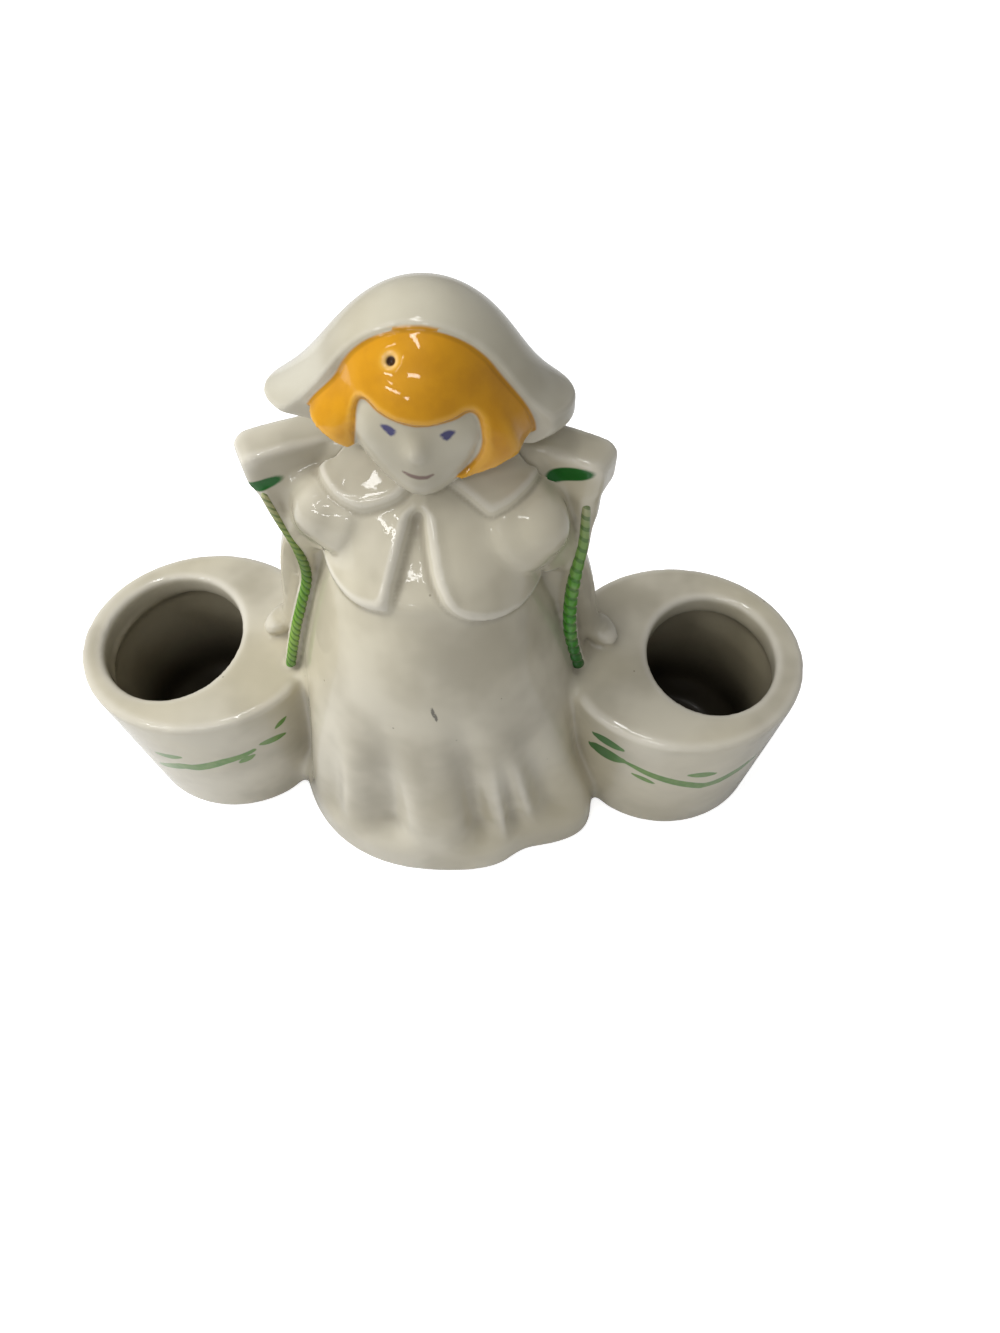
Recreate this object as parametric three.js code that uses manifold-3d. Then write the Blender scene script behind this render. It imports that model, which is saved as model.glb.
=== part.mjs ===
// A glazed earthenware figure of a girl in a winged cap, who carries two pails on a shoulder yoke.
// Each pail is a small planter. Millimetres, +Z up; the front is -Y, the origin is under the middle of the hem.
import * as THREE from "three";
import { mergeVertices } from "three/addons/utils/BufferGeometryUtils.js";
import Module from "manifold-3d";

// Driving dimensions, skirt
const hemHalfWidth = 34.8;
const hemHalfDepth = 34.2;
const hemSquareness = 2.25;
const waistRadius = 18.2;
const waistHeight = 75;
const bellCurve = 1.85;
const skirtCrown = 8;
const skirtWall = 4;
const plinthHeight = 11;
const footChamfer = 1;
const hemDent = 1.5;

// Driving dimensions, jacket and collar
const torsoHeight = 23;
const torsoShift = 1.6;
const jacketThickness = 1.4;
const jacketHemRise = 1.8;
const jacketHemTilt = 2.6;
const jacketHemFlare = 0.5;
const shoulderHalfWidth = 17.7;
const shoulderHalfDepth = 7.2;
const shoulderSet = 5.2;
const openingWidth = 8.2;
const openingShift = 1.3;
const openingDrop = 7.6;
const collarThickness = 1.3;
const collarSpan = 18.6;
const collarReach = 8.8;
const collarNeck = 2.4;

// Driving dimensions, arms
const sleeveLeft = { radius: 5.4, out: 18, forward: 3.6 };
const sleeveRight = { radius: 6, out: 19.6, forward: 3.8 };
const sleeveDrop = 13.4;
const elbowOut = 21.4;
const elbowRadius = 4.3;
const wristRadius = 3.4;
const armSet = 4;
const handLength = 10;
const handWidth = 6.6;
const handThickness = 4.8;
const handTurn = -50;
const handOnPail = 8.6;

// Driving dimensions, head
const headRise = 9;
const headShift = 1.1;
const headSet = 5;
const faceForward = 1;
const faceHalfWidth = 12.8;
const faceHalfDepth = 12.9;
const faceHalfHeight = 13.3;
const jawFullness = 3;
const noseLength = 1.4;
const chinLength = 2.6;
const neckRadius = 7;
const hairThickness = 2;
const hairFlareLeft = { out: 6, from: 6.5, to: -3.5 };
const hairFlareRight = { out: 4.6, from: 7, to: -4 };
const lockLeft = { tip: -11.6, drop: 4, rise: 5.4 };
const lockRight = { tip: 8.3, drop: 6.6, rise: 4.6 };
const fringeRise = 4.6;
const faceWindowLeft = 9.6;
const faceWindowRight = 9.8;
const capHalfWidth = 16.4;
const capHalfDepth = 15.6;
const capRise = 16.6;
const capHemDrop = 7.5;
const capFrontEdge = 0;
const wingHeight = -1;
const wingLeft = { reach: 10.2, top: -1.4, foot: -2, above: 5.4, below: 1.6 };
const wingRight = { reach: 7.9, top: -1.6, foot: -5, above: 4.2, below: 3.2 };
const wingTurn = 25;

// Driving dimensions, yoke and ropes
const yokeHalfLength = 32;
const yokeDrop = 6.4;
const yokeDroop = 1;
const yokeSweep = 8;
const yokeEndSet = 2.6;
const yokeThickness = 8.2;
const yokeDepth = 8;
const yokeEndRound = 3;
const ropeTopInset = 3.7;
const ropeLeft = {
  radius: 1.3,
  bends: [
    { out: 26.2, set: -0.4, rise: 0.78 },
    { out: 23.8, set: -1.9, rise: 0.56 },
    { out: 26.2, set: -4.4, rise: 0.33 },
  ],
  footInset: 5.3,
  footSet: -7.4,
};
const ropeRight = {
  radius: 1.55,
  bends: [
    { out: 28.2, set: -1.2, rise: 0.71 },
    { out: 26.9, set: -3, rise: 0.47 },
    { out: 27.2, set: -4.2, rise: 0.24 },
  ],
  footInset: 4,
  footSet: -4.9,
};
const webThickness = 5;

// Driving dimensions, pails
const pailSpacing = 51.2;
const pailHeight = 42.5;
const pailTopHalfWidth = 25.8;
const pailTopHalfDepth = 23.8;
const pailFootHalfWidth = 21.7;
const pailFootHalfDepth = 19.8;
const pailRimRound = 2;
const pailWall = 4;
const pailFloor = 5;
const mouthShift = 6.3;
const mouthRadiusLeft = 14.5;
const mouthRadiusRight = 13.4;
const mouthStretch = 1.1;
const lipThickness = 5.8;

// Clearance left between neighbouring pieces
const joint = 0.3;

// Heights that follow from the dimensions above
const shoulderTop = waistHeight + torsoHeight;
const jacketHemHeight = waistHeight + jacketHemRise;
const sleeveHeight = shoulderTop - sleeveDrop;
const headHeight = shoulderTop + headRise;
const capPeak = headHeight + capRise;
const yokeHeight = shoulderTop - yokeDrop;

const degree = Math.PI / 180;
const { lerp, smoothstep } = THREE.MathUtils;
const wasm = await Module();
wasm.setup();

// A closed three.js geometry as a solid that can be cut and joined.
function solid(geometry) {
  const bare = geometry.clone();
  bare.deleteAttribute("normal");
  bare.deleteAttribute("uv");
  const merged = mergeVertices(bare, 1e-4);
  return new wasm.Manifold(
    new wasm.Mesh({
      numProp: 3,
      vertProperties: new Float32Array(merged.attributes.position.array),
      triVerts: new Uint32Array(merged.index.array),
    }),
  );
}

// The solid back as a geometry, with flat facets.
function geometryOf(made) {
  const mesh = made.getMesh();
  const geometry = new THREE.BufferGeometry();
  geometry.setAttribute("position", new THREE.BufferAttribute(mesh.vertProperties, 3));
  geometry.setIndex(new THREE.BufferAttribute(mesh.triVerts, 1));
  const flat = geometry.toNonIndexed();
  flat.computeVertexNormals();
  return flat;
}

// Moves every point of a geometry to where the function says.
function reshape(geometry, move) {
  const { position } = geometry.attributes;
  const point = new THREE.Vector3();
  for (let i = 0; i < position.count; i++) {
    point.fromBufferAttribute(position, i);
    move(point);
    position.setXYZ(i, point.x, point.y, point.z);
  }
  return geometry;
}

// A profile of [share of the radius, height] turned round the Z axis, then given its real radius at each angle.
function turned(profile, segments, radiusAt, centreAt = () => [0, 0]) {
  const points = profile.map(([share, height]) => new THREE.Vector2(share, height));
  const lathe = new THREE.LatheGeometry(points, segments).rotateX(Math.PI / 2);
  return reshape(lathe, (p) => {
    const share = Math.hypot(p.x, p.y);
    const angle = Math.atan2(p.y, p.x);
    const radius = share * radiusAt(angle, p.z);
    const [x, y] = centreAt(p.z);
    p.set(x + radius * Math.cos(angle), y + radius * Math.sin(angle), p.z);
  });
}

// Distance from the centre to a superellipse in the direction of an angle.
function superellipse(angle, halfX, halfY, power) {
  const x = Math.abs(Math.cos(angle)) / halfX;
  const y = Math.abs(Math.sin(angle)) / halfY;
  return Math.pow(Math.pow(x, power) + Math.pow(y, power), -1 / power);
}

// A tube along a curve: the section gives the offset across and up at each angle and share of the length.
function swept(curve, sides, steps, sectionAt) {
  const frames = curve.computeFrenetFrames(steps, false);
  const tube = new THREE.CylinderGeometry(1, 1, 1, sides, steps);
  return reshape(tube, (p) => {
    const along = 0.5 - p.y;
    const step = Math.round(along * steps);
    const share = Math.hypot(p.x, p.z);
    const [across, up] = sectionAt(Math.atan2(p.z, p.x), along);
    const place = curve.getPointAt(along);
    place.addScaledVector(frames.normals[step], share * across);
    place.addScaledVector(frames.binormals[step], share * up);
    p.copy(place);
  });
}

// An outline in the front view, pushed through from front to back.
function pushedThrough(shape, from, to) {
  const slab = new THREE.ExtrudeGeometry(shape, { depth: to - from, bevelEnabled: false, curveSegments: 10 });
  return slab.rotateX(Math.PI / 2).translate(0, to, 0);
}

// Mirrors a solid to the other side of the girl.
const mirrored = (made) => made.mirror([1, 0, 0]);

// The valleys of the skirt: degrees from the front, half width in degrees, depth, drift in degrees per mm, top.
const valleys = [
  [-44, 4, 1.2, 0.1, 38],
  [-19, 8, 3.8, 0, 48],
  [19.5, 6.5, 4, -0.1, 50],
  [33, 3.4, 2, -0.12, 32],
  [52, 7, 3, -0.28, 44],
  [76, 8, 3, -0.1, 44],
  [104, 8, 3.4, 0, 46],
  [130, 9, 4, 0, 48],
  [163, 9, 4, 0, 50],
  [-163, 9, 4, 0, 50],
  [-130, 10, 4, 0, 48],
  [-100, 8, 3.4, 0, 46],
  [-68, 8, 3.2, 0, 46],
];
const deepestValley = Math.max(...valleys.map(([, , depth]) => depth));

// Degrees from one direction to another, within half a turn either way.
const degreesBetween = (to, from) => THREE.MathUtils.euclideanModulo(to - from + 180, 360) - 180;

// How far the skirt is let in at an angle and a height: the deepest of its valleys there.
function valleyDepth(angle, z) {
  const fromFront = angle / degree + 90;
  const foot = smoothstep(z, plinthHeight * 0.75, plinthHeight * 1.4);
  let deepest = 0;
  for (const [centre, halfWidth, depth, drift, top] of valleys) {
    const off = degreesBetween(fromFront, centre + drift * z);
    const share = foot * (1 - smoothstep(z, plinthHeight * 1.8, top));
    deepest = Math.max(deepest, depth * share * Math.exp(-((off / halfWidth) ** 2)));
  }
  return deepest;
}

// Radius of the skirt: a bell that narrows faster towards the waist, with valleys above a ledge over the hem.
function skirtRadius(angle, z, folds = 1) {
  const narrowing = Math.pow(THREE.MathUtils.clamp(z / waistHeight, 0, 1), bellCurve);
  const radius = superellipse(
    angle,
    lerp(hemHalfWidth, waistRadius, narrowing),
    lerp(hemHalfDepth, waistRadius, narrowing),
    lerp(hemSquareness, 2, narrowing),
  );
  const dentOff = degreesBetween(angle / degree + 90, 34) / 8;
  const dent = hemDent * Math.exp(-(dentOff ** 2)) * (1 - smoothstep(z, plinthHeight, 2 * plinthHeight));
  return radius - folds * (valleyDepth(angle, z) + dent);
}

// The skirt as a full bell with a rounded crown at the waist.
function skirtSolid(grow) {
  const wallRows = 10;
  const crownRows = 3;
  const profile = [[0, -grow], [0.97, -grow], [1, footChamfer]];
  for (let row = 1; row <= wallRows; row++) {
    profile.push([1, lerp(footChamfer, waistHeight, row / wallRows)]);
  }
  for (let row = 1; row <= crownRows; row++) {
    const turn = (row / crownRows) * 90 * degree;
    profile.push([row === crownRows ? 0 : Math.cos(turn), waistHeight + (skirtCrown + grow) * Math.sin(turn)]);
  }
  return solid(turned(profile, 48, (angle, z) => skirtRadius(angle, z) + grow));
}

// The hollow that slip casting leaves in the skirt, open at the floor.
function skirtHollow() {
  const rows = 6;
  const top = waistHeight + skirtCrown - skirtWall;
  const start = top - 2 * skirtCrown;
  const profile = [[0, -1], [1, -1]];
  for (let row = 0; row <= rows; row++) {
    profile.push([1, lerp(0.5, start, row / rows)]);
  }
  profile.push([0.8, lerp(start, top, 0.6)], [0.45, lerp(start, top, 0.92)], [0, top]);
  return solid(turned(profile, 24, (angle, z) => skirtRadius(angle, z, 0) - skirtWall - deepestValley));
}

// The upper body: an oval dome from the waist to the neck, set back towards the top.
function torsoRadius(angle, z) {
  const rise = THREE.MathUtils.clamp((z - waistHeight) / (shoulderTop - waistHeight), 0, 1);
  const dome = Math.cbrt(1 - rise ** 3);
  return superellipse(
    angle,
    dome * lerp(waistRadius, shoulderHalfWidth, rise),
    dome * lerp(waistRadius, shoulderHalfDepth, rise),
    2.2,
  );
}

const torsoCentre = (z) => [torsoShift, shoulderSet * Math.max(0, (z - waistHeight) / torsoHeight)];

// The jacket's hem hangs lower on one side than on the other.
const jacketHem = (angle) => jacketHemHeight - jacketHemTilt * Math.cos(angle);

// The upper body with the jacket on, from its hem up to the neck.
function jacketSolid(grow) {
  const rows = 7;
  const height = shoulderTop + grow;
  const base = jacketHemHeight - jacketHemTilt - grow;
  const profile = [[0, base], [1, base]];
  for (let row = 1; row <= rows; row++) {
    profile.push([row === rows ? 0 : 1, lerp(base, height, Math.sin((row / rows) * 90 * degree))]);
  }
  const geometry = turned(
    profile,
    30,
    (angle, z) => {
      const flare = jacketHemFlare * (1 - smoothstep(z, base, base + 3 * jacketHemFlare));
      return torsoRadius(angle, z - grow) + jacketThickness + flare + grow;
    },
    torsoCentre,
  );
  return solid(
    reshape(geometry, (p) => {
      const out = Math.min(1, Math.hypot(p.x - torsoShift, p.y) / (0.8 * waistRadius));
      const hem = jacketHem(Math.atan2(p.y, p.x - torsoShift)) - grow;
      p.z = lerp(p.z, lerp(hem, height, (p.z - base) / (height - base)), out);
    }),
  );
}

// The opening between the jacket's fronts: an upturned V with curved sides.
function jacketOpening() {
  const low = jacketHemHeight - 2 * jacketHemTilt;
  const openingTop = shoulderTop - openingDrop;
  const bend = lerp(low, openingTop, 0.55);
  const shape = new THREE.Shape();
  shape.moveTo(0, openingTop);
  shape.quadraticCurveTo(openingShift - openingWidth * 0.45, bend, openingShift - openingWidth / 2, low);
  shape.lineTo(openingShift + openingWidth / 2, low);
  shape.quadraticCurveTo(openingShift + openingWidth * 0.1, bend, 0, openingTop);
  return solid(pushedThrough(shape, -hemHalfDepth, 0));
}

// The rounded half of the collar, seen from above.
function roundedCollar() {
  const shape = new THREE.Shape();
  shape.moveTo(-joint, headSet);
  shape.lineTo(-joint, -collarNeck);
  shape.quadraticCurveTo(-collarSpan * 0.12, -collarReach, -collarSpan * 0.42, -collarReach);
  shape.bezierCurveTo(-collarSpan * 0.8, -collarReach, -collarSpan, -collarNeck, -collarSpan, headSet);
  shape.closePath();
  return shape;
}

// The pointed half of the collar, seen from above.
function pointedCollar() {
  const shape = new THREE.Shape();
  shape.moveTo(joint, headSet);
  shape.lineTo(collarSpan, headSet);
  shape.bezierCurveTo(
    collarSpan,
    -collarNeck,
    collarSpan * 0.86,
    -collarReach * 0.72,
    collarSpan * 0.62,
    -collarReach * 0.86,
  );
  shape.lineTo(joint, -collarNeck * 0.4);
  shape.closePath();
  return shape;
}

// The jacket and both sleeves, which the collar lies on.
function dressed(grow) {
  return jacketSolid(grow).add(sleeveSolid(sleeveRight, grow)).add(mirrored(sleeveSolid(sleeveLeft, grow)));
}

// A collar half: a layer of cloth that lies on the jacket, cut to its outline from above.
function collarSolid(outline) {
  const cloth = dressed(joint + collarThickness).subtract(dressed(joint));
  const settings = { depth: shoulderTop, bevelEnabled: false, curveSegments: 8 };
  const slab = new THREE.ExtrudeGeometry(outline, settings);
  return cloth.intersect(solid(slab.translate(0, 0, jacketHemHeight + 2 * jacketHemTilt)));
}

// A puffed sleeve, on the right.
function sleeveSolid(sleeve, grow) {
  const ball = new THREE.SphereGeometry(1, 16, 10).rotateX(Math.PI / 2);
  return solid(
    reshape(ball, (p) => {
      p.set(
        sleeve.out - p.z + (sleeve.radius + grow) * p.x,
        -sleeve.forward + p.z + (sleeve.radius + grow) * p.y,
        sleeveHeight + (sleeve.radius * 1.2 + grow) * p.z,
      );
    }),
  );
}

// The forearm's line, from inside the sleeve down to the hand on the pail.
const wristOut = pailSpacing - pailTopHalfWidth + handOnPail - 0.4 * handLength;
const armLine = new THREE.CatmullRomCurve3([
  new THREE.Vector3(elbowOut, armSet - 6, sleeveHeight - 0.9 * elbowRadius),
  new THREE.Vector3(lerp(elbowOut, wristOut, 0.5), armSet, lerp(pailHeight, sleeveHeight, 0.58)),
  new THREE.Vector3(wristOut - 1, armSet + 1, lerp(pailHeight, sleeveHeight, 0.26)),
  new THREE.Vector3(wristOut, armSet + 1, pailHeight + joint + wristRadius * 0.6),
]);

// The forearm, thinner towards the wrist.
function forearmSolid(grow) {
  return solid(
    swept(armLine, 14, 8, (angle, along) => {
      const radius = lerp(elbowRadius, wristRadius, along) + grow;
      return [radius * Math.cos(angle), radius * Math.sin(angle)];
    }),
  );
}

// The hand, palm down on the pail, with its fingers towards the front.
function handSolid(grow) {
  const ball = new THREE.SphereGeometry(1, 14, 9).rotateX(Math.PI / 2);
  const hand = reshape(ball, (p) => {
    const taper = 1 - 0.2 * p.x;
    p.set(
      (handLength / 2 + grow) * p.x,
      (handWidth / 2 + grow) * p.y * taper,
      (handThickness / 2 + grow) * p.z * taper,
    );
  });
  hand.rotateZ(handTurn * degree);
  hand.translate(pailSpacing - pailTopHalfWidth + handOnPail, armSet, pailHeight + 0.4 * handThickness);
  return solid(hand);
}

// A soft bump of the given reach round a place on the unit sphere.
const bump = (p, x, y, z, reach) => Math.exp(-((p.x - x) ** 2 + (p.y - y) ** 2 + (p.z - z) ** 2) / reach ** 2);

// The head without hair: a round face with a full jaw, cheeks, a small nose and a chin, on a short neck.
function headSolid(grow) {
  const ball = new THREE.SphereGeometry(1, 24, 16).rotateX(Math.PI / 2);
  const face = reshape(ball, (p) => {
    const low = Math.max(0, -p.z);
    const ring = Math.sqrt(Math.max(1e-6, 1 - low ** 2));
    const full = Math.pow(Math.max(0, 1 - low ** jawFullness), 1 / jawFullness) / ring;
    const cheeks = 0.8 * (bump(p, 0.5, -0.78, -0.4, 0.35) + bump(p, -0.5, -0.78, -0.4, 0.35));
    const nose = noseLength * bump(p, 0, -1, -0.06, 0.14);
    const chin = chinLength * bump(p, 0, -0.6, -0.8, 0.36);
    p.set(
      headShift + (faceHalfWidth + grow) * p.x * lerp(1, full, 0.6) * (1 - 0.1 * low),
      headSet - faceForward + (faceHalfDepth + grow) * p.y * full - cheeks - nose - chin,
      headHeight + (faceHalfHeight + grow) * p.z,
    );
  });
  const neckLength = headHeight - shoulderTop + 2;
  const neck = new THREE.CylinderGeometry(neckRadius + grow, neckRadius + grow, neckLength, 20)
    .rotateX(Math.PI / 2)
    .translate(headShift, headSet + 1, headHeight - neckLength / 2);
  return solid(face).add(solid(neck));
}

// The level of the hair's lower edge: each lock is lowest at its inner tip and rises towards its outer side.
function hairEnd(x) {
  const left = headHeight - lockLeft.drop + lockLeft.rise * smoothstep(lockLeft.tip - x, 0, 7);
  const right = headHeight - lockRight.drop + lockRight.rise * smoothstep(x - lockRight.tip, 5, 11);
  return lerp(left, right, smoothstep(x, lockLeft.tip + 3, lockRight.tip));
}

// The bobbed hair: a dome over the head with straight sides, which flare out in front towards the lower edge.
function hairShell(grow) {
  const cover = hairThickness + grow;
  const top = headHeight + faceHalfHeight + cover;
  const low = headHeight - Math.max(lockLeft.drop, lockRight.drop) - grow;
  const sideRows = 6;
  const domeRows = 6;
  const profile = [[0, low]];
  for (let row = 0; row < sideRows; row++) {
    profile.push([1, lerp(low, headHeight, row / sideRows)]);
  }
  for (let row = 0; row <= domeRows; row++) {
    profile.push([row === domeRows ? 0 : 1, lerp(headHeight, top, Math.sin((row / domeRows) * 90 * degree))]);
  }
  const radiusAt = (angle, z) => {
    const dome = Math.sqrt(Math.max(0, 1 - (Math.max(0, z - headHeight) / (top - headHeight)) ** 2));
    const flare = Math.cos(angle) < 0 ? hairFlareLeft : hairFlareRight;
    const front = 1 - smoothstep(Math.sin(angle), -0.35, 0);
    const out = flare.out * front * smoothstep(headHeight + flare.from - z, 0, flare.from - flare.to);
    return superellipse(angle, (faceHalfWidth - 0.4 + cover) * dome + out, (faceHalfDepth + cover) * dome, 2);
  };
  const dome = turned(profile, 32, radiusAt, () => [headShift, headSet]);
  return solid(
    reshape(dome, (p) => {
      p.z = Math.max(p.z, hairEnd(p.x) - 2.5 * grow);
    }),
  );
}

// The window that the face looks out of: below the fringe and between the side locks.
function faceWindow() {
  const low = headHeight - 2 * lockRight.drop;
  const shoulder = headHeight + fringeRise + 2;
  const shape = new THREE.Shape();
  shape.moveTo(-faceWindowLeft * 1.35, low);
  shape.lineTo(faceWindowRight * 0.7, low);
  shape.quadraticCurveTo(faceWindowRight * 1.1, headHeight, faceWindowRight, shoulder - 2);
  shape.quadraticCurveTo(faceWindowRight * 0.96, shoulder + 1, faceWindowRight * 0.75, shoulder);
  shape.quadraticCurveTo(0, headHeight + fringeRise - 2, -faceWindowLeft * 0.7, shoulder);
  shape.quadraticCurveTo(-faceWindowLeft * 0.9, shoulder + 1.5, -faceWindowLeft, shoulder - 2);
  shape.closePath();
  return solid(pushedThrough(shape, headSet - 2 * faceHalfDepth, headSet - 2).translate(headShift, 0, 0));
}

// Reach of a wing of the cap at a height: full at its tip, and less above and below it.
function wingReach(wing, z) {
  const over = z - headHeight - wing.top;
  const under = headHeight + wing.foot - z;
  if (over > 0) return wing.reach * Math.exp(-Math.pow(over / wing.above, 1.1));
  return under > 0 ? wing.reach * Math.exp(-Math.pow(under / wing.below, 1.5)) : wing.reach;
}

// Reach of the cap from its middle: a round crown, with a wing at each side where the hem turns out.
function capRadius(angle, z) {
  const crownFoot = headHeight + wingHeight;
  const rise = THREE.MathUtils.clamp((z - crownFoot) / (capPeak - crownFoot), 0, 1);
  const dome = Math.sqrt(1 - rise ** 2);
  const fromSide = Math.acos(Math.min(1, Math.abs(Math.cos(angle)))) / (wingTurn * degree);
  const crown = superellipse(angle, capHalfWidth * dome, capHalfDepth * dome, 2);
  const wing = wingReach(Math.cos(angle) < 0 ? wingLeft : wingRight, z) * (1 - rise ** 4);
  return crown + wing * Math.exp(-(fromSide ** 2));
}

// The cap before it is fitted over the hair, cut off straight in front.
function capSolid() {
  const hem = headHeight - capHemDrop;
  const rows = 12;
  const profile = [[0, hem], [1, hem]];
  for (let row = 1; row <= rows; row++) {
    profile.push([row === rows ? 0 : 1, lerp(hem, capPeak, Math.sin((row / rows) * 90 * degree))]);
  }
  const full = solid(turned(profile, 40, capRadius, () => [headShift, headSet + 1]));
  const box = 4 * capHalfWidth + 4 * wingLeft.reach;
  const front = new THREE.BoxGeometry(box, box, box).translate(0, capFrontEdge - box / 2, headHeight);
  return full.subtract(solid(front));
}

// The yoke's line: round the back of the neck, its ends forward and a little lower.
const yokeLine = new THREE.QuadraticBezierCurve3(
  new THREE.Vector3(-yokeHalfLength, yokeEndSet, yokeHeight - yokeDroop),
  new THREE.Vector3(0, yokeEndSet + 2 * yokeSweep, yokeHeight + yokeDroop),
  new THREE.Vector3(yokeHalfLength, yokeEndSet, yokeHeight - yokeDroop),
);

// The yoke: a beam with rounded edges and blunt rounded ends.
function yokeSolid(grow) {
  return solid(
    swept(yokeLine, 16, 18, (angle, along) => {
      const end = Math.min(along, 1 - along) * yokeLine.getLength();
      const round = Math.sqrt(1 - 0.5 * Math.max(0, 1 - end / yokeEndRound) ** 2);
      const radius = superellipse(angle, yokeThickness / 2 + grow, yokeDepth / 2 + grow, 4) * round;
      return [radius * Math.cos(angle), radius * Math.sin(angle)];
    }),
  );
}

// The points of a rope's line: from under the end of the yoke, round the sleeve, to the top of the pail.
function ropePoints(side, rope) {
  const foot = pailHeight + joint + rope.radius / 2;
  const top = yokeHeight - yokeDroop - yokeThickness / 2 - joint - rope.radius / 2;
  return [
    new THREE.Vector3(side * (yokeHalfLength - ropeTopInset), yokeEndSet - yokeDepth / 2 + rope.radius, top),
    ...rope.bends.map((bend) => new THREE.Vector3(side * bend.out, bend.set, lerp(foot, top, bend.rise))),
    new THREE.Vector3(side * (pailSpacing - pailTopHalfWidth + rope.footInset), rope.footSet, foot),
  ];
}

// A rope, or the bed that its neighbours are cut back to.
function ropeSolid(side, rope, grow) {
  const line = new THREE.CatmullRomCurve3(ropePoints(side, rope));
  const radius = rope.radius + grow;
  return solid(swept(line, 8, 20, (angle) => [radius * Math.cos(angle), radius * Math.sin(angle)]));
}

// The clay between skirt, arm and rope: level ovals that reach from inside the body to just behind the rope.
function webSolid(side, rope, grow) {
  const points = ropePoints(1, rope).reverse();
  const ropeAt = (z) => {
    let step = 0;
    while (step < points.length - 2 && points[step + 1].z < z) step++;
    const share = (z - points[step].z) / (points[step + 1].z - points[step].z);
    return points[step].clone().lerp(points[step + 1], THREE.MathUtils.clamp(share, 0, 1));
  };
  const spanAt = (z) => {
    const { x: outer, y } = ropeAt(z);
    const inner = (z < waistHeight ? skirtRadius(0, z, 0) : waistRadius) - webThickness;
    const front = y + 1.5 * rope.radius;
    const back = armSet + webThickness / 2;
    return {
      middle: [(inner + outer) / 2, (front + back) / 2],
      half: [(outer - inner) / 2 + grow, (back - front) / 2 + grow],
    };
  };
  const rows = 6;
  const foot = pailHeight + joint;
  const top = yokeHeight - yokeDroop;
  const profile = [[0, foot]];
  for (let row = 0; row <= rows; row++) {
    profile.push([1, lerp(foot, top, row / rows)]);
  }
  profile.push([0, top]);
  const radiusAt = (angle, z) => superellipse(angle, ...spanAt(z).half, 3);
  const web = turned(profile, 12, radiusAt, (z) => spanAt(z).middle);
  return side > 0 ? solid(web) : mirrored(solid(web));
}

// A pail as a full oval cone with a flat top and a rounded edge.
function pailBody(grow) {
  const corner = [];
  for (let turn = 0; turn <= 90; turn += 30) {
    corner.push([
      1 - (pailRimRound / pailTopHalfWidth) * (1 - Math.cos(turn * degree)),
      pailHeight - pailRimRound * (1 - Math.sin(turn * degree)) + grow,
    ]);
  }
  const side = [[0, -grow], [0.96, -grow], [1, 1], [1, 0.35 * pailHeight], [1, 0.68 * pailHeight]];
  const radiusAt = (angle, z) => {
    const rise = THREE.MathUtils.clamp(z / pailHeight, 0, 1);
    const halfWidth = lerp(pailFootHalfWidth, pailTopHalfWidth, rise);
    return superellipse(angle, halfWidth, lerp(pailFootHalfDepth, pailTopHalfDepth, rise), 2) + grow;
  };
  const geometry = turned([...side, ...corner, [0, pailHeight + grow]], 36, radiusAt);
  return solid(geometry.translate(pailSpacing, 0, 0));
}

// The room inside a pail: clear of the skirt on one side and a wall's thickness inside the pail on the others.
function pailHollow() {
  const top = pailHeight - lipThickness;
  const floor = pailFloor;
  const sideAt = (z) => {
    const rise = z / pailHeight;
    const inner = skirtRadius(0, z, 0) + joint + pailWall;
    const outer = pailSpacing + lerp(pailFootHalfWidth, pailTopHalfWidth, rise) - pailWall;
    const halfDepth = lerp(pailFootHalfDepth, pailTopHalfDepth, rise) - pailWall;
    return [(inner + outer) / 2, (outer - inner) / 2, halfDepth];
  };
  const wall = [[0.75, floor], [1, floor + 4], [1, lerp(floor, top, 0.5)], [1, top - 2], [0.93, top]];
  const profile = [[0, floor], ...wall, [0, top]];
  return solid(
    turned(
      profile,
      24,
      (angle, z) => superellipse(angle, sideAt(z)[1], sideAt(z)[2], 2.2),
      (z) => [sideAt(z)[0], 0],
    ),
  );
}

// The hole cut in a pail's top.
function pailMouth(radius) {
  const lip = 0.6;
  const top = pailHeight + 0.01;
  const under = pailHeight - lipThickness - 1;
  const wide = 1 + lip / radius;
  const profile = [[0, under], [1, under], [1, pailHeight - lip], [wide, top], [wide, top + 2], [0, top + 2]];
  const geometry = turned(profile, 28, (angle) => superellipse(angle, radius, radius * mouthStretch, 2));
  return solid(geometry.translate(pailSpacing + mouthShift, 0, 0));
}

function pailSolid(mouthRadius) {
  return pailBody(0).subtract(pailHollow()).subtract(pailMouth(mouthRadius));
}

const white = { color: 0xd9d6c8, roughness: 0.16, metalness: 0 };
const yellow = { color: 0xdc9d23, roughness: 0.14, metalness: 0 };
const green = { color: 0x3f8f34, roughness: 0.2, metalness: 0 };

const planter = new THREE.Group();

function place(name, made, finish) {
  const mesh = new THREE.Mesh(geometryOf(made), new THREE.MeshStandardMaterial(finish));
  mesh.name = name;
  planter.add(mesh);
}

// Cuts a solid back from each of its neighbours, which are already grown by the joint.
const fitted = (made, ...neighbours) => neighbours.reduce((left, other) => left.subtract(other), made);

// Keeps the largest piece of a solid: a cut can leave a crumb on the far side of a neighbour.
function largest(made) {
  const bodies = made.decompose();
  return bodies.reduce((best, body) => (body.volume() > best.volume() ? body : best));
}

const grown = {
  skirt: skirtSolid(joint),
  jacket: jacketSolid(joint),
  cloth: dressed(joint + collarThickness + joint),
  head: headSolid(joint),
  hair: hairShell(joint),
  yoke: yokeSolid(joint),
  ropes: ropeSolid(-1, ropeLeft, joint).add(ropeSolid(1, ropeRight, joint)),
};

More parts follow.
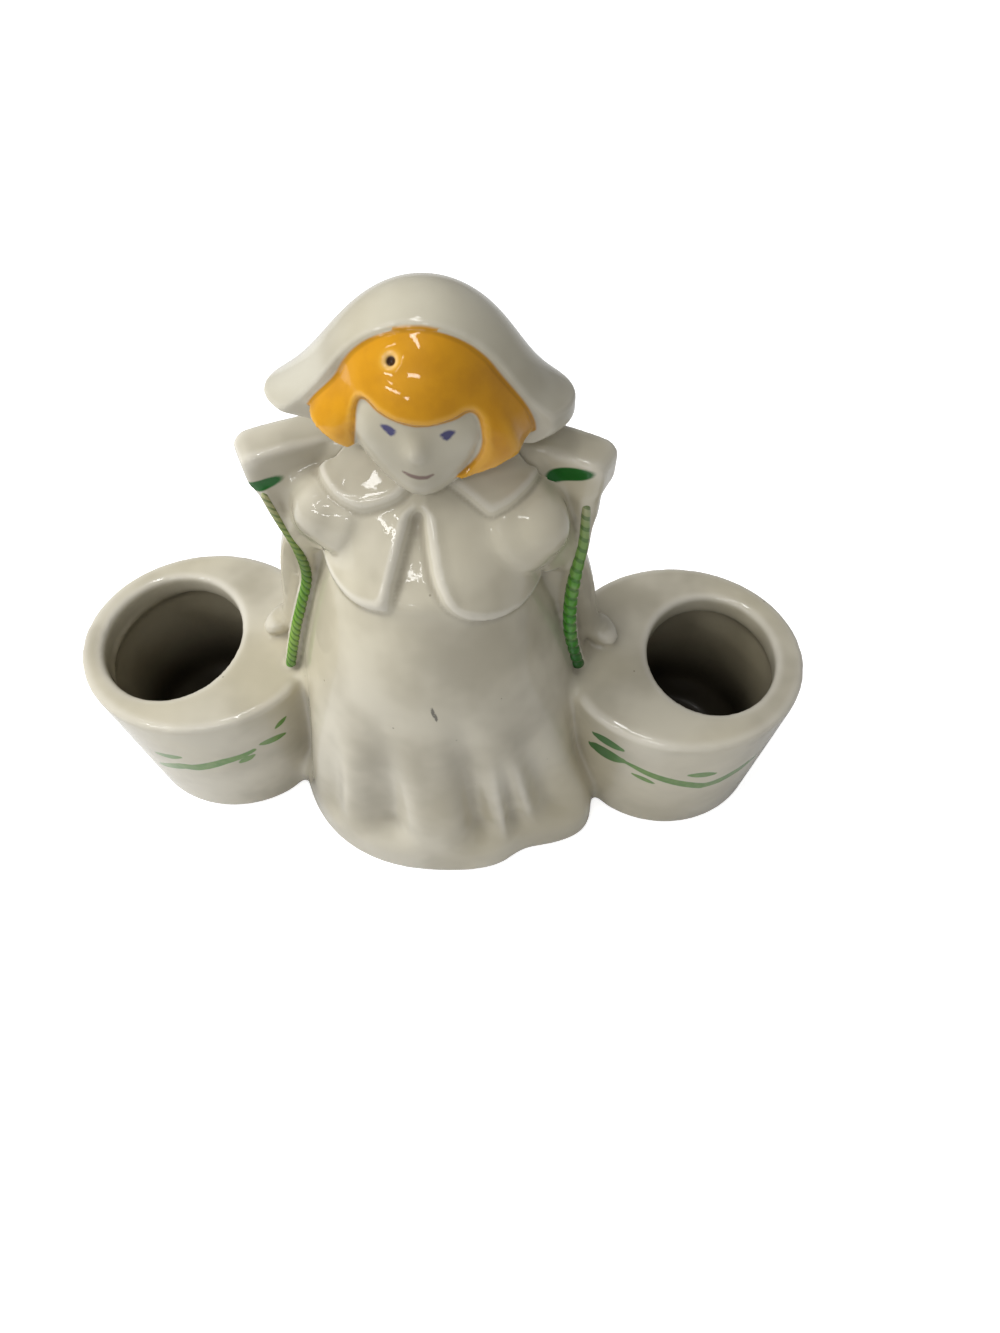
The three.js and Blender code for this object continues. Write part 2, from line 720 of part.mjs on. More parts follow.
place("skirt", skirtSolid(0).subtract(skirtHollow()), white);
const opening = jacketOpening().subtract(jacketSolid(-jacketThickness));
place("jacket", largest(fitted(jacketSolid(0), grown.skirt, opening, grown.head, grown.yoke)), white);
place("collar_left", largest(fitted(collarSolid(roundedCollar()), grown.head, grown.yoke)), white);
place("collar_right", largest(fitted(collarSolid(pointedCollar()), grown.head, grown.yoke)), white);

// Each arm is made on the right, mirrored for the left, then fitted to what it touches there.
const arms = [
  { name: "left", side: -1, turn: mirrored, sleeve: sleeveLeft, rope: ropeLeft },
  { name: "right", side: 1, turn: (made) => made, sleeve: sleeveRight, rope: ropeRight },
];
for (const { name, side, turn, sleeve, rope } of arms) {
  const puff = fitted(turn(sleeveSolid(sleeve, 0)), grown.jacket, grown.yoke, grown.ropes, grown.skirt);
  place(`sleeve_${name}`, largest(puff), white);
  const pail = turn(pailBody(joint));
  const round = [turn(sleeveSolid(sleeve, joint)), grown.skirt, grown.jacket, grown.cloth, pail, grown.ropes];
  const arm = turn(forearmSolid(0)).add(webSolid(side, rope, 0));
  const forearm = largest(fitted(arm, ...round, grown.yoke));
  place(`forearm_${name}`, forearm, white);
  const hand = turn(handSolid(0)).subtract(turn(forearmSolid(joint))).subtract(webSolid(side, rope, joint));
  place(`hand_${name}`, largest(fitted(hand, ...round)), white);
}

place("head", largest(fitted(headSolid(0), grown.yoke)), white);
const hair = hairShell(0).subtract(faceWindow());
place("hair", largest(fitted(hair, grown.head, grown.cloth, grown.yoke)), yellow);
place("cap", largest(fitted(capSolid(), grown.hair, grown.head, grown.cloth, grown.yoke)), white);
place("yoke", yokeSolid(0), white);
place("rope_left", largest(fitted(ropeSolid(-1, ropeLeft, 0), grown.skirt, grown.yoke)), green);
place("rope_right", largest(fitted(ropeSolid(1, ropeRight, 0), grown.skirt, grown.yoke)), green);
place("pail_left", largest(fitted(mirrored(pailSolid(mouthRadiusLeft)), grown.skirt)), white);
place("pail_right", largest(fitted(pailSolid(mouthRadiusRight), grown.skirt)), white);

export default planter;
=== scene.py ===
"""Glazed earthenware double planter: a girl in a winged cap, who carries two pails on a shoulder yoke.

The real thing is one slip-cast body under one coat of glaze, so its forms melt into each other. Each form is a
numpy surface in millimetres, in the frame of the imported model. The forms that touch are joined, the joins are
rounded as glaze rounds them, and the skin is then parted along the joins again, one closed piece for each node.
"""
import math

import bpy
import numpy as np
from mathutils import Matrix, Vector


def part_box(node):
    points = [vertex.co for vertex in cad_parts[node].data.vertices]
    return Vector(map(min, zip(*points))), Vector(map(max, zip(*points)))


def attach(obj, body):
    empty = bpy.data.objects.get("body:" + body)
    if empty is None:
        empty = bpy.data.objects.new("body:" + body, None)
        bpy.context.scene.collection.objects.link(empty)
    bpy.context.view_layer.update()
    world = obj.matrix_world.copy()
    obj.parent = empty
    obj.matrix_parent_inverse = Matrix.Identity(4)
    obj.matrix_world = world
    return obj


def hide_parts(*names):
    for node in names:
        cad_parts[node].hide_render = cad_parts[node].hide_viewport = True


bl_info = {
    "name": "Figural double planter",
    "version": (1, 0, 0),
    "blender": (4, 5, 0),
    "location": "View3D > Sidebar > Planter",
    "description": "Makes the glazed pieces of a figural double planter and the stage that it stands on",
    "category": "Add Mesh",
}

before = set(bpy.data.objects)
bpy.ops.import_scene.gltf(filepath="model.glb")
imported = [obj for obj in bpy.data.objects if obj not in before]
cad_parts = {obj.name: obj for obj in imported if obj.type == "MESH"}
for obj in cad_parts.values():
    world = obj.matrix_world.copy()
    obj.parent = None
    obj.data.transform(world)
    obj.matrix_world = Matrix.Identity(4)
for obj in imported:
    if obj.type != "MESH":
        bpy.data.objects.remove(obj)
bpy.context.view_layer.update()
MM = 0.001
SIDES = (-1, 1)
FULL_TURN = 2 * math.pi
# A distance in mm that stands for far away from a form or a stroke
FAR = 9.0


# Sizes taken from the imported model


def reach(node, corner, axis):
    """One coordinate of a node's box, in millimetres."""
    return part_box(node)[corner][axis] / MM


PAIL_HEIGHT = reach("pail_right", 1, 2)
PAIL_HALF_DEPTH = reach("pail_right", 1, 1)
HEM_HALF_DEPTH = reach("skirt", 1, 1)
CAP_PEAK = reach("cap", 1, 2)


def length_choice(name, description, length, low, high):
    """A length that a user can change, with its default and range in millimetres."""
    low, high = low * MM, high * MM
    return bpy.props.FloatProperty(
        name=name, description=description, default=length * MM, min=low, max=high, precision=4, unit="LENGTH"
    )


class PlanterSizes(bpy.types.PropertyGroup):
    """Sizes that a user would change."""

    pail_height: length_choice("Pail height", "Height of the flat top of both pails", PAIL_HEIGHT, 30, 60)
    fold_depth: length_choice("Fold depth", "How far the valleys of the skirt lie behind its ridges", 4, 0, 6)
    collar_thickness: length_choice("Collar thickness", "How far the collar stands up from the jacket", 1, 0, 2)
    rope_radius: length_choice("Rope radius", "Radius of the right rope; the left one is thinner", 1.35, 1, 2)
    rope_lay: length_choice("Rope lay", "Length of the right rope from one strand to the next", 2.4, 1.5, 5)
    skin_detail: length_choice("Skin detail", "Edge length of the body's faces; the head's are smaller", 0.6, 0.4, 2)


def linear(colour):
    """The linear value of an sRGB hex colour."""
    share = [int(colour[i : i + 2], 16) / 255 for i in (1, 3, 5)]
    return tuple(s / 12.92 if s <= 0.04045 else ((s + 0.055) / 1.055) ** 2.4 for s in share)


def colour_choice(name, description, colour):
    """A colour that a user can change."""
    return bpy.props.FloatVectorProperty(
        name=name, description=description, default=linear(colour), min=0, max=1, size=3, subtype="COLOR"
    )


class PlanterColours(bpy.types.PropertyGroup):
    """Colours that a user would change."""

    clay: colour_choice("Clay", "Earthenware under clear glaze", "#c7c1af")
    pale: colour_choice("Pale glaze", "Glaze on the head and cap", "#c3bfb0")
    # Also painted shade: this colour darkens creases where shade falls, as well as where glaze pools
    pooled_glaze_and_shade: colour_choice("Pooled glaze", "Glaze where it lies thick in creases", "#928a78")
    hair: colour_choice("Hair", "Mustard underglaze paint on the hair", "#cc8f0a")
    leaf: colour_choice("Leaf", "Brushed green of the dabs and leaves", "#00580f")
    stem: colour_choice("Stem", "Thinner green of the stems and of the left pail", "#437800")
    eye: colour_choice("Eye", "Cobalt blue of the eyes", "#1c1c62")
    mouth: colour_choice("Mouth", "Manganese brown of the mouth", "#6b4f4a")


# Shapes as formulas


def ramp(value, low, high):
    """A smooth rise from 0 at low to 1 at high."""
    share = np.clip((value - low) / (high - low), 0, 1)
    return share * share * (3 - 2 * share)


def mix(first, second, share):
    """The value between first and second at a share of the way."""
    return first + (second - first) * share


def bell(value, middle, width):
    """A bell curve of height 1 round its middle, which falls to 1/e at its width."""
    return np.exp(-(((value - middle) / width) ** 2))


def superellipse(angle, half_x, half_y, power):
    """Distance from the centre to a superellipse: the two axis shares to the power add up to one."""
    along_x = np.abs(np.cos(angle)) / half_x
    along_y = np.abs(np.sin(angle)) / half_y
    return (along_x**power + along_y**power) ** (-1 / power)


def from_front(angle):
    """Degrees round from the front, within half a turn either way."""
    return (np.degrees(angle) + 90 + 180) % 360 - 180


def angles(count):
    """Angles round a closed ring, as one row."""
    return np.linspace(0, FULL_TURN, count, endpoint=False)[None, :]


def rings(radius, angle, height, centre_x=0.0, centre_y=0.0):
    """Rings of points: each row lies at its height round its centre, at a radius for each angle."""
    shape = np.broadcast(radius, angle, height).shape
    x = centre_x + radius * np.cos(angle)
    y = centre_y + radius * np.sin(angle)
    return np.stack([np.broadcast_to(part, shape) for part in (x, y, height)], -1)


def volume(verts, faces):
    """Six times the volume inside triangles and quads, which is negative when they face inwards."""
    total = 0.0
    for group in faces:
        for second in range(1, group.shape[1] - 1):
            a, b, c = (verts[group[:, corner]] for corner in (0, second, second + 1))
            total += np.einsum("ij,ij->i", a, np.cross(b, c)).sum()
    return total


def closed_skin(grid):
    """A closed surface from rings: neighbours are joined, and the first and last ring shrink to a point."""
    count, around = grid.shape[:2]
    verts = np.vstack([grid[0].mean(0), grid[1:-1].reshape(-1, 3), grid[-1].mean(0)])
    index = 1 + np.arange((count - 2) * around).reshape(count - 2, around)
    beside = np.roll(index, -1, 1)
    quads = np.stack([index[:-1], beside[:-1], beside[1:], index[1:]], -1).reshape(-1, 4)
    first = np.stack([np.zeros(around, int), beside[0], index[0]], -1)
    last = np.stack([np.full(around, len(verts) - 1), index[-1], beside[-1]], -1)
    faces = [quads, first, last]
    if volume(verts, faces) < 0:
        faces = [group[:, ::-1] for group in faces]
    return verts, faces


def length_along(line):
    """The length of a line from its start to each of its points."""
    return np.r_[0, np.cumsum(np.linalg.norm(np.diff(line, axis=0), axis=1))]


def curve_points(control, count):
    """A smooth line through the control points: each span is a cubic whose slopes look at both neighbours."""
    control = np.asarray(control, float)
    chord = length_along(control)
    slope = np.gradient(control, chord, axis=0)
    at = np.linspace(0, chord[-1], count)
    span = np.clip(np.searchsorted(chord, at, side="right") - 1, 0, len(control) - 2)
    length = (chord[span + 1] - chord[span])[:, None]
    t = (at[:, None] - chord[span][:, None]) / length
    start = (2 * t**3 - 3 * t**2 + 1) * control[span] + (t**3 - 2 * t**2 + t) * length * slope[span]
    end = (3 * t**2 - 2 * t**3) * control[span + 1] + (t**3 - t**2) * length * slope[span + 1]
    return start + end


def side_vectors(path, guide):
    """Two unit vectors across a path: the first is square to the path and the guide, the second to both."""
    along = np.gradient(path, axis=0)
    along /= np.linalg.norm(along, axis=1)[:, None]
    across = np.cross(along, np.asarray(guide, float))
    across /= np.linalg.norm(across, axis=1)[:, None]
    return across, np.cross(across, along)


def tube(path, guide, radius, angle):
    """A closed surface along a path: rings square to it, with a radius for each place and angle."""
    across, up = side_vectors(path, guide)
    out_x, out_y = (radius * np.cos(angle))[..., None], (radius * np.sin(angle))[..., None]
    grid = path[:, None, :] + out_x * across[:, None, :] + out_y * up[:, None, :]
    return closed_skin(np.concatenate([path[:1, None, :] + 0 * grid[:1], grid, path[-1:, None, :] + 0 * grid[:1]]))


def line_stretches(points, line):
    """For each stretch of a line: every point's distance to it, and how far along it the nearest place lies."""
    for start, end in zip(line[:-1], line[1:]):
        step = end - start
        share = np.clip((points - start) @ step / max(step @ step, 1e-12), 0, 1)
        yield np.linalg.norm(points - start - share[:, None] * step, axis=1), share


def away_from_line(points, path):
    """Distance from each point to the nearest stretch of a path."""
    nearest = np.full(len(points), np.inf)
    for distance, _ in line_stretches(points, path):
        nearest = np.minimum(nearest, distance)
    return nearest


def away_from_outline(x, y, outline):
    """Signed distance to a closed outline in the plane: positive inside it."""
    points = np.stack([x, y], -1)
    closed = np.vstack([outline, outline[:1]])
    distance = away_from_line(np.c_[points, 0 * x], np.c_[closed, 0 * closed[:, 0]])
    inside = np.zeros(len(points), bool)
    for (ax, ay), (bx, by) in zip(closed[:-1], closed[1:]):
        crosses = (ay > y) != (by > y)
        step = by - ay if by != ay else 1.0
        inside ^= crosses & (x < (bx - ax) * (y - ay) / step + ax)
    return np.where(inside, distance, -distance)


# Skirt

HEM_HALF_WIDTH = 34.8
HEM_SQUARENESS = 2.25
WAIST_RADIUS = 18.2
WAIST_HEIGHT = 75.0
BELL_CURVE = 1.85
SKIRT_CROWN = 8.0
SKIRT_WALL = 4.0
HEM_BAND = 11.0
# The dent in the hem and the hem's corner: size, degrees from the front and width in degrees
HEM_DENT = (0.38, 34, 8)
HEM_CORNER = (4.2, 57, 12)

# Valleys of the skirt: degrees from the front, half width in degrees, share of the fold depth, degrees per mm, top
VALLEYS = (
    (-44, 5, 0.4, 0.1, 42),
    (-19, 9, 1.1, 0, 54),
    (19.5, 6.5, 1.15, -0.1, 56),
    (34, 4.4, 0.8, -0.12, 42),
    (52, 7.5, 0.9, -0.28, 48),
    (76, 8, 0.75, -0.1, 44),
    (104, 8, 0.85, 0, 46),
    (130, 9, 1, 0, 48),
    (163, 9, 1, 0, 50),
    (-163, 9, 1, 0, 50),
    (-130, 10, 1, 0, 48),
    (-100, 8, 0.85, 0, 46),
    (-68, 8, 0.8, 0, 46),
)


def valley_share(angle, z):
    """How deep the valleys are at a place: a bell curve across each, which starts above the hem and fades upwards."""
    foot = ramp(z, 0.7 * HEM_BAND, 1.5 * HEM_BAND)
    deepest = 0 * (angle + z)
    for centre, half_width, depth, drift, top in VALLEYS:
        off = (from_front(angle) - centre - drift * z + 180) % 360 - 180
        share = foot * (1 - ramp(z, 1.9 * HEM_BAND, top + 4))
        deepest = np.maximum(deepest, depth * share * bell(off, 0, half_width))
    return deepest


def skirt_radius(angle, z, fold_depth):
    """A bell that narrows with height to a power, less the valleys and the hem's dent, and out at its corner."""
    share = np.clip(z / WAIST_HEIGHT, 0, 1) ** BELL_CURVE
    plain = superellipse(
        angle,
        mix(HEM_HALF_WIDTH, WAIST_RADIUS, share),
        mix(HEM_HALF_DEPTH, WAIST_RADIUS, share),
        mix(HEM_SQUARENESS, 2, share),
    )
    dent = bell(from_front(angle), *HEM_DENT[1:]) * (1 - ramp(z, HEM_BAND, 2 * HEM_BAND))
    corner = HEM_CORNER[0] * bell(from_front(angle), *HEM_CORNER[1:]) * (1 - ramp(z, 8, 26))
    return plain + corner - fold_depth * (valley_share(angle, z) + HEM_DENT[0] * dent)


def skirt_skin(fold_depth):
    """The hollow from its top down to the floor, then the hem and the bell up to a rounded crown."""
    angle = angles(300)
    top = WAIST_HEIGHT + SKIRT_CROWN - SKIRT_WALL
    start = top - 2 * SKIRT_CROWN
    inside = np.array([[0, top], [0.45, mix(start, top, 0.92)], [0.8, mix(start, top, 0.6)], [1, start]])
    down = np.c_[np.ones(30), np.linspace(start, 0, 31)[1:]]
    inside = np.vstack([inside, down])
    z = inside[:, 1:]
    hollow = inside[:, :1] * (skirt_radius(angle, z, 0) - SKIRT_WALL - fold_depth)
    foot = np.array([[0.985, 0.0], [1, 0.8]])
    side = np.c_[np.ones(110), np.linspace(0.8, WAIST_HEIGHT, 111)[1:]]
    turn = np.radians(np.linspace(0, 90, 10)[1:])
    crown = np.c_[np.cos(turn), WAIST_HEIGHT + SKIRT_CROWN * np.sin(turn)]
    outside = np.vstack([foot, side, crown])
    outer = outside[:, :1] * skirt_radius(angle, outside[:, 1:], fold_depth)
    return closed_skin(np.concatenate([rings(hollow, angle, z), rings(outer, angle, outside[:, 1:])]))


# Jacket and collar

SHOULDER_TOP = 98.0
SHOULDER_HALF_WIDTH = 17.7
SHOULDER_HALF_DEPTH = 7.2
SHOULDER_SET = 5.2
JACKET_THICKNESS = 1.4
JACKET_HEM = 76.0
JACKET_TILT = 2.0
TORSO_SHIFT = 1.6
OPENING_TOP = 90.6
HEAD_SHIFT = 1.1
HEAD_SET = 5.0


def torso_radius(angle, z):
    """An oval that shrinks to nothing at the shoulders along a cubic dome."""
    rise = np.clip((z - WAIST_HEIGHT) / (SHOULDER_TOP - WAIST_HEIGHT), 0, 1)
    dome = np.cbrt(1 - rise**3)
    half_x = np.maximum(dome * mix(WAIST_RADIUS, SHOULDER_HALF_WIDTH, rise), 1e-3)
    half_y = np.maximum(dome * mix(WAIST_RADIUS, SHOULDER_HALF_DEPTH, rise), 1e-3)
    return superellipse(angle, half_x, half_y, 2.2)


def torso_centre(z):
    """The torso leans back towards the shoulders in a straight line."""
    return SHOULDER_SET * np.maximum(0, (z - WAIST_HEIGHT) / (SHOULDER_TOP - WAIST_HEIGHT))


def inside_opening(x, z):
    """How far a place on the front lies inside the jacket's opening: its two edges spread in powers of the drop."""
    drop = np.clip((OPENING_TOP - z) / (OPENING_TOP - JACKET_HEM), 0, 1.3)
    left = -0.4 - 4.9 * drop**0.8 - 0.3 * drop**8
    right = 0.6 + 2.6 * drop + 3.0 * drop**6
    return np.minimum(x - left, right - x) - 0.9 * (1 - ramp(drop, 0, 0.1))


def off_torso(points):
    """Each point's lean in front of the torso's centre, its angle round it, and its distance from the torso."""
    x, y, z = points.T
    lean = y - torso_centre(z)
    angle = np.arctan2(lean, x - TORSO_SHIFT)
    return lean, angle, np.hypot(x - TORSO_SHIFT, lean) - torso_radius(angle, np.minimum(z, SHOULDER_TOP - 0.5))


def torso_skin():
    """The bare torso under the jacket, from below its hem up to the neck."""
    angle = angles(300)
    z = mix(WAIST_HEIGHT - 5, SHOULDER_TOP, np.sin(np.radians(np.linspace(0, 90, 56)))[:, None])
    grid = rings(torso_radius(angle, z), angle, z, TORSO_SHIFT, torso_centre(z))
    foot = grid[:1] * [0, 0, 1] - [0, 0, 1.5]
    return closed_skin(np.concatenate([foot, grid]))


def jacket_hem(angle):
    """The hem's height: tilted, and lower at both sides than in front."""
    return JACKET_HEM - JACKET_TILT * np.cos(angle) - 2.6 * ramp(np.abs(np.cos(angle)), 0.2, 0.75)


def jacket_layer(points):
    """How far each vertex lies inside the jacket's cloth and its opening, and how much cloth it carries there."""
    x, _, z = points.T
    lean, angle, off = off_torso(points)
    opening = np.where(lean < 0, inside_opening(x, z), -FAR)
    cover = np.minimum(z - jacket_hem(angle), -opening)
    return cover, 1 - ramp(off, 1.5, 5.5)


def arc(start, bend_a, bend_b, end, count=24):
    """Points along a cubic curve with two pulls."""
    t = np.linspace(0, 1, count)[:, None]
    start, bend_a, bend_b, end = (np.array(p, float) for p in (start, bend_a, bend_b, end))
    return (1 - t) ** 3 * start + 3 * (1 - t) ** 2 * t * bend_a + 3 * (1 - t) * t**2 * bend_b + t**3 * end


# The collar's outlines seen from above: the rounded half, then the pointed one
ROUNDED_COLLAR = np.vstack(
    [
        [[-0.1, 8.0]],
        arc((-0.1, -3.4), (-1.2, -5.4), (-3.4, -6.6), (-7.4, -6.6)),
        arc((-7.4, -6.6), (-14.4, -6.6), (-18.6, -3.4), (-18.4, 8.0)),
    ]
)
POINTED_COLLAR = np.vstack(
    [[[0.5, 8.0]], arc((20.4, 8.0), (20.6, -0.6), (17.4, -5.6), (12.6, -6.9)), [[11.6, -6.8], [0.5, -2.4]]]
)


# Arms

# Each sleeve: its middle and its half sizes, made on the right
SLEEVE = {
    -1: (np.array([16.8, -3.0, 86.2]), np.array([6.6, 5.6, 6.0])),
    1: (np.array([18.8, -4.0, 85.4]), np.array([7.4, 6.2, 7.0])),
}
ARM_SET = 4.0
PAIL_SPACING = 51.2
PAIL_TOP_HALF_WIDTH = 25.8
HAND_OUT = 34.0
WRIST_OUT = 30.0
HAND_TURN = math.radians(-50)
HAND_RISE = 1.9
HAND_HALF = (5.0, 3.3, 2.4)
GUSSET_HALF = (2.9, 3.2, 7.5)
GUSSET_SET = 2.6
GUSSET_HEIGHT = 84.6


def ball(rows, around):
    """Unit sphere directions as rings from the south pole to the north pole."""
    tilt = np.linspace(-math.pi / 2, math.pi / 2, rows)[:, None]
    angle = angles(around)
    return rings(np.cos(tilt) + 0 * angle, angle, np.sin(tilt) + 0 * angle)


def sleeve_skin(side):
    """A ball leaning out and back towards its foot, gathered in soft creases at the cuff."""
    p = ball(40, 72)
    x, y, z = p[..., 0], p[..., 1], p[..., 2]
    gather = 1 + 0.035 * ramp(-z, 0.1, 0.7) * np.cos(9 * np.arctan2(y, x))
    middle, half = SLEEVE[side]
    lean = np.stack([-0.5 * z, z, 0 * z], -1)
    grid = middle + lean + half * np.stack([gather * x, gather * y, z], -1)
    return closed_skin(grid * [side, 1, 1])


def arm_line(side):
    """The forearm's line, from inside the sleeve down to the hand."""
    elbow = [20.2, -0.2, 82.4] if side < 0 else [21.0, -1.6, 81.2]
    control = np.array([elbow, [25.6, 3.6, 67.5], [28.6, 5.0, 54.0], [WRIST_OUT, 5.0, PAIL_HEIGHT + 1.5]])
    return curve_points(control * [side, 1, 1], 40)


def arm_radius(along):
    """The forearm narrows from elbow to wrist and swells again in a cuff."""
    return mix(4.7, 3.5, along) + 0.5 * bell(along, 0.93, 0.05)


def forearm_skin(side):
    """A round section carried down the forearm's line."""
    path = arm_line(side)
    return tube(path, (0, 1, 0), arm_radius(np.linspace(0, 1, len(path))[:, None]), angles(48))


def web_skin(side, height):
    """The clay between skirt, arm and rope: level ovals from the pail up into the yoke, which end behind the rope."""
    path = curve_points(ROPES[side], 60)[::-1] * [side, 1, 1]
    z = np.linspace(height - 3, YOKE_HEIGHT - YOKE_DROOP, 50)[:, None]
    outer = np.interp(z, path[:, 2], path[:, 0]) + 0.6
    front = np.interp(z, path[:, 2], path[:, 1]) + 1.0
    inner = np.where(z < WAIST_HEIGHT, skirt_radius(0.0, z, 0), WAIST_RADIUS) - 5
    back = ARM_SET + 2.5
    radius = superellipse(angles(60), (outer - inner) / 2, (back - front) / 2, 3.0)
    grid = rings(radius, angles(60), z, (outer + inner) / 2, (front + back) / 2)
    return closed_skin(grid * [side, 1, 1])


def gusset_skin(side):
    """The clay that swells out below each end of the yoke: an oval ball, taller than it is wide."""
    middle = [27.4 + 0.8 * side, GUSSET_SET, GUSSET_HEIGHT]
    return closed_skin((ball(24, 40) * GUSSET_HALF + middle) * [side, 1, 1])


def hand_skin(side):
    """A mitten lying on the pail: an egg whose front is parted into four fingers by soft grooves."""
    p = ball(32, 56)
    x, y, z = p[..., 0], p[..., 1], p[..., 2]
    taper = 1 - 0.2 * x
    groove = 0.28 * ramp(x, 0.1, 0.6) * ramp(z, -0.2, 0.4) * np.cos(4 * math.pi * y) ** 2
    length, width, depth = HAND_HALF
    flat = np.stack([length * x, width * y * taper, depth * z * taper * (1 + groove - 0.14)], -1)
    turn = np.array([[math.cos(HAND_TURN), -math.sin(HAND_TURN)], [math.sin(HAND_TURN), math.cos(HAND_TURN)]])
    flat[..., :2] = flat[..., :2] @ turn.T
    return closed_skin((flat + [HAND_OUT, ARM_SET, PAIL_HEIGHT + HAND_RISE]) * [side, 1, 1])


# Yoke and ropes

YOKE_HALF_LENGTH = 32.0
YOKE_HEIGHT = 91.6
YOKE_DROOP = 1.0
YOKE_SWEEP = 8.0
YOKE_END_SET = 2.6
YOKE_HALF_THICKNESS = 4.3
YOKE_HALF_DEPTH = 4.2
YOKE_END_ROUND = 2.4
ROPE_BED_SET = 1.3
ROPE_BED_RADIUS = 1.6
# How deep the ropes' grooves are and how thin their upper ends, as shares of the radius
GROOVE_DEPTH = 0.14
ROPE_THIN_END = 0.62

# Each rope's line from the yoke to its pail
ROPES = {
    -1: (
        (-28.3, -0.6, 87.4),
        (-26.6, -1.8, 82.6),
        (-24.2, -2.6, 75.2),
        (-23.9, -2.6, 66.4),
        (-25.6, -4.0, 60.8),
        (-27.5, -5.2, 55.0),
        (-30.7, -7.2, 43.0),
    ),
    1: (
        (28.3, 0.3, 86.4),
        (28.3, -1.2, 77.5),
        (27.4, -2.4, 70.8),
        (26.8, -3.2, 63.6),
        (26.9, -4.0, 56.6),
        (28.1, -4.5, 48.3),
        (29.5, -4.9, 43.0),
    ),
}


def yoke_line():
    """A level curve with one pull: round the back of the neck, its ends forward and a little lower."""
    t = np.linspace(0, 1, 90)[:, None]
    start = np.array([-YOKE_HALF_LENGTH, YOKE_END_SET, YOKE_HEIGHT - YOKE_DROOP])
    pull = np.array([0, YOKE_END_SET + 2 * YOKE_SWEEP, YOKE_HEIGHT + YOKE_DROOP])
    return (1 - t) ** 2 * start + 2 * t * (1 - t) * pull + t**2 * start * [-1, 1, 1]


def yoke_skin():
    """A squarish section carried along the yoke's line, rounded off towards both ends."""
    path = yoke_line()
    length = np.linalg.norm(np.diff(path, axis=0), axis=1).sum()
    along = np.linspace(0, 1, len(path))[:, None]
    to_end = np.minimum(along, 1 - along) * length
    rounding = np.sqrt(1 - 0.5 * np.maximum(0, 1 - to_end / YOKE_END_ROUND) ** 2)
    angle = angles(72)
    radius = superellipse(angle, YOKE_HALF_DEPTH, YOKE_HALF_THICKNESS, 9.0) * rounding
    return tube(path, (0, 0, 1), radius, angle)


def rope_bed_skin(side):
    """The ridge of clay that a rope is modelled on: a plain tube a little behind the rope."""
    path = curve_points(ROPES[side], 60) + [0, ROPE_BED_SET, 0]
    return tube(path, (0, 1, 0), np.full((len(path), 1), ROPE_BED_RADIUS), angles(28))


def rope_skin(side, radius, lay, strands):
    """A tube with shallow grooves that turn round it, one for each strand: a cosine wave of the angle and length."""
    path = curve_points(ROPES[side], 420)
    length = length_along(path)[:, None]
    angle = angles(60)
    wave = 0.5 + 0.5 * np.cos(strands * angle - FULL_TURN * length / lay)
    groove = (1 - wave) ** 3
    taper = mix(1.0, ROPE_THIN_END, ramp(path[:, 2:], 64, 86))
    radius_here = radius * taper * (1 - GROOVE_DEPTH * groove * (1 - 0.8 * ramp(path[:, 2:], 66, 78)))
    ends = np.sqrt(np.clip(np.minimum(length, length[-1] - length) / (0.6 * radius), 0.02, 1))
    verts, faces = tube(path, (0, 1, 0), radius_here * ends, angle)
    return verts, faces, np.r_[0, groove.ravel(), 0]


# Pails

PAIL_FOOT_HALF_WIDTH = 21.7
PAIL_FOOT_HALF_DEPTH = 19.8
PAIL_RIM = 1.4
PAIL_WALL = 4.0
PAIL_FLOOR = 5.0
MOUTH_SHIFT = 6.3
MOUTH_RADIUS = {-1: 14.5, 1: 13.4}
MOUTH_STRETCH = 1.1
LIP = 5.8
LIP_ROUND = 0.7


def pail_half(z, height):
    """Half width and half depth of a pail's outside, which spreads evenly from foot to rim."""
    share = np.clip(z / height, 0, 1)
    half_width = mix(PAIL_FOOT_HALF_WIDTH, PAIL_TOP_HALF_WIDTH, share)
    return half_width, mix(PAIL_FOOT_HALF_DEPTH, PAIL_HALF_DEPTH, share)


def pail_share(x, y, z, height, wall=0.0):
    """How far out a place lies in the right pail: 0 in its middle and 1 on its side, or on a wall inside the side."""
    half_width, half_depth = pail_half(z, height)
    return np.hypot((x - PAIL_SPACING) / (half_width - wall), y / (half_depth - wall))


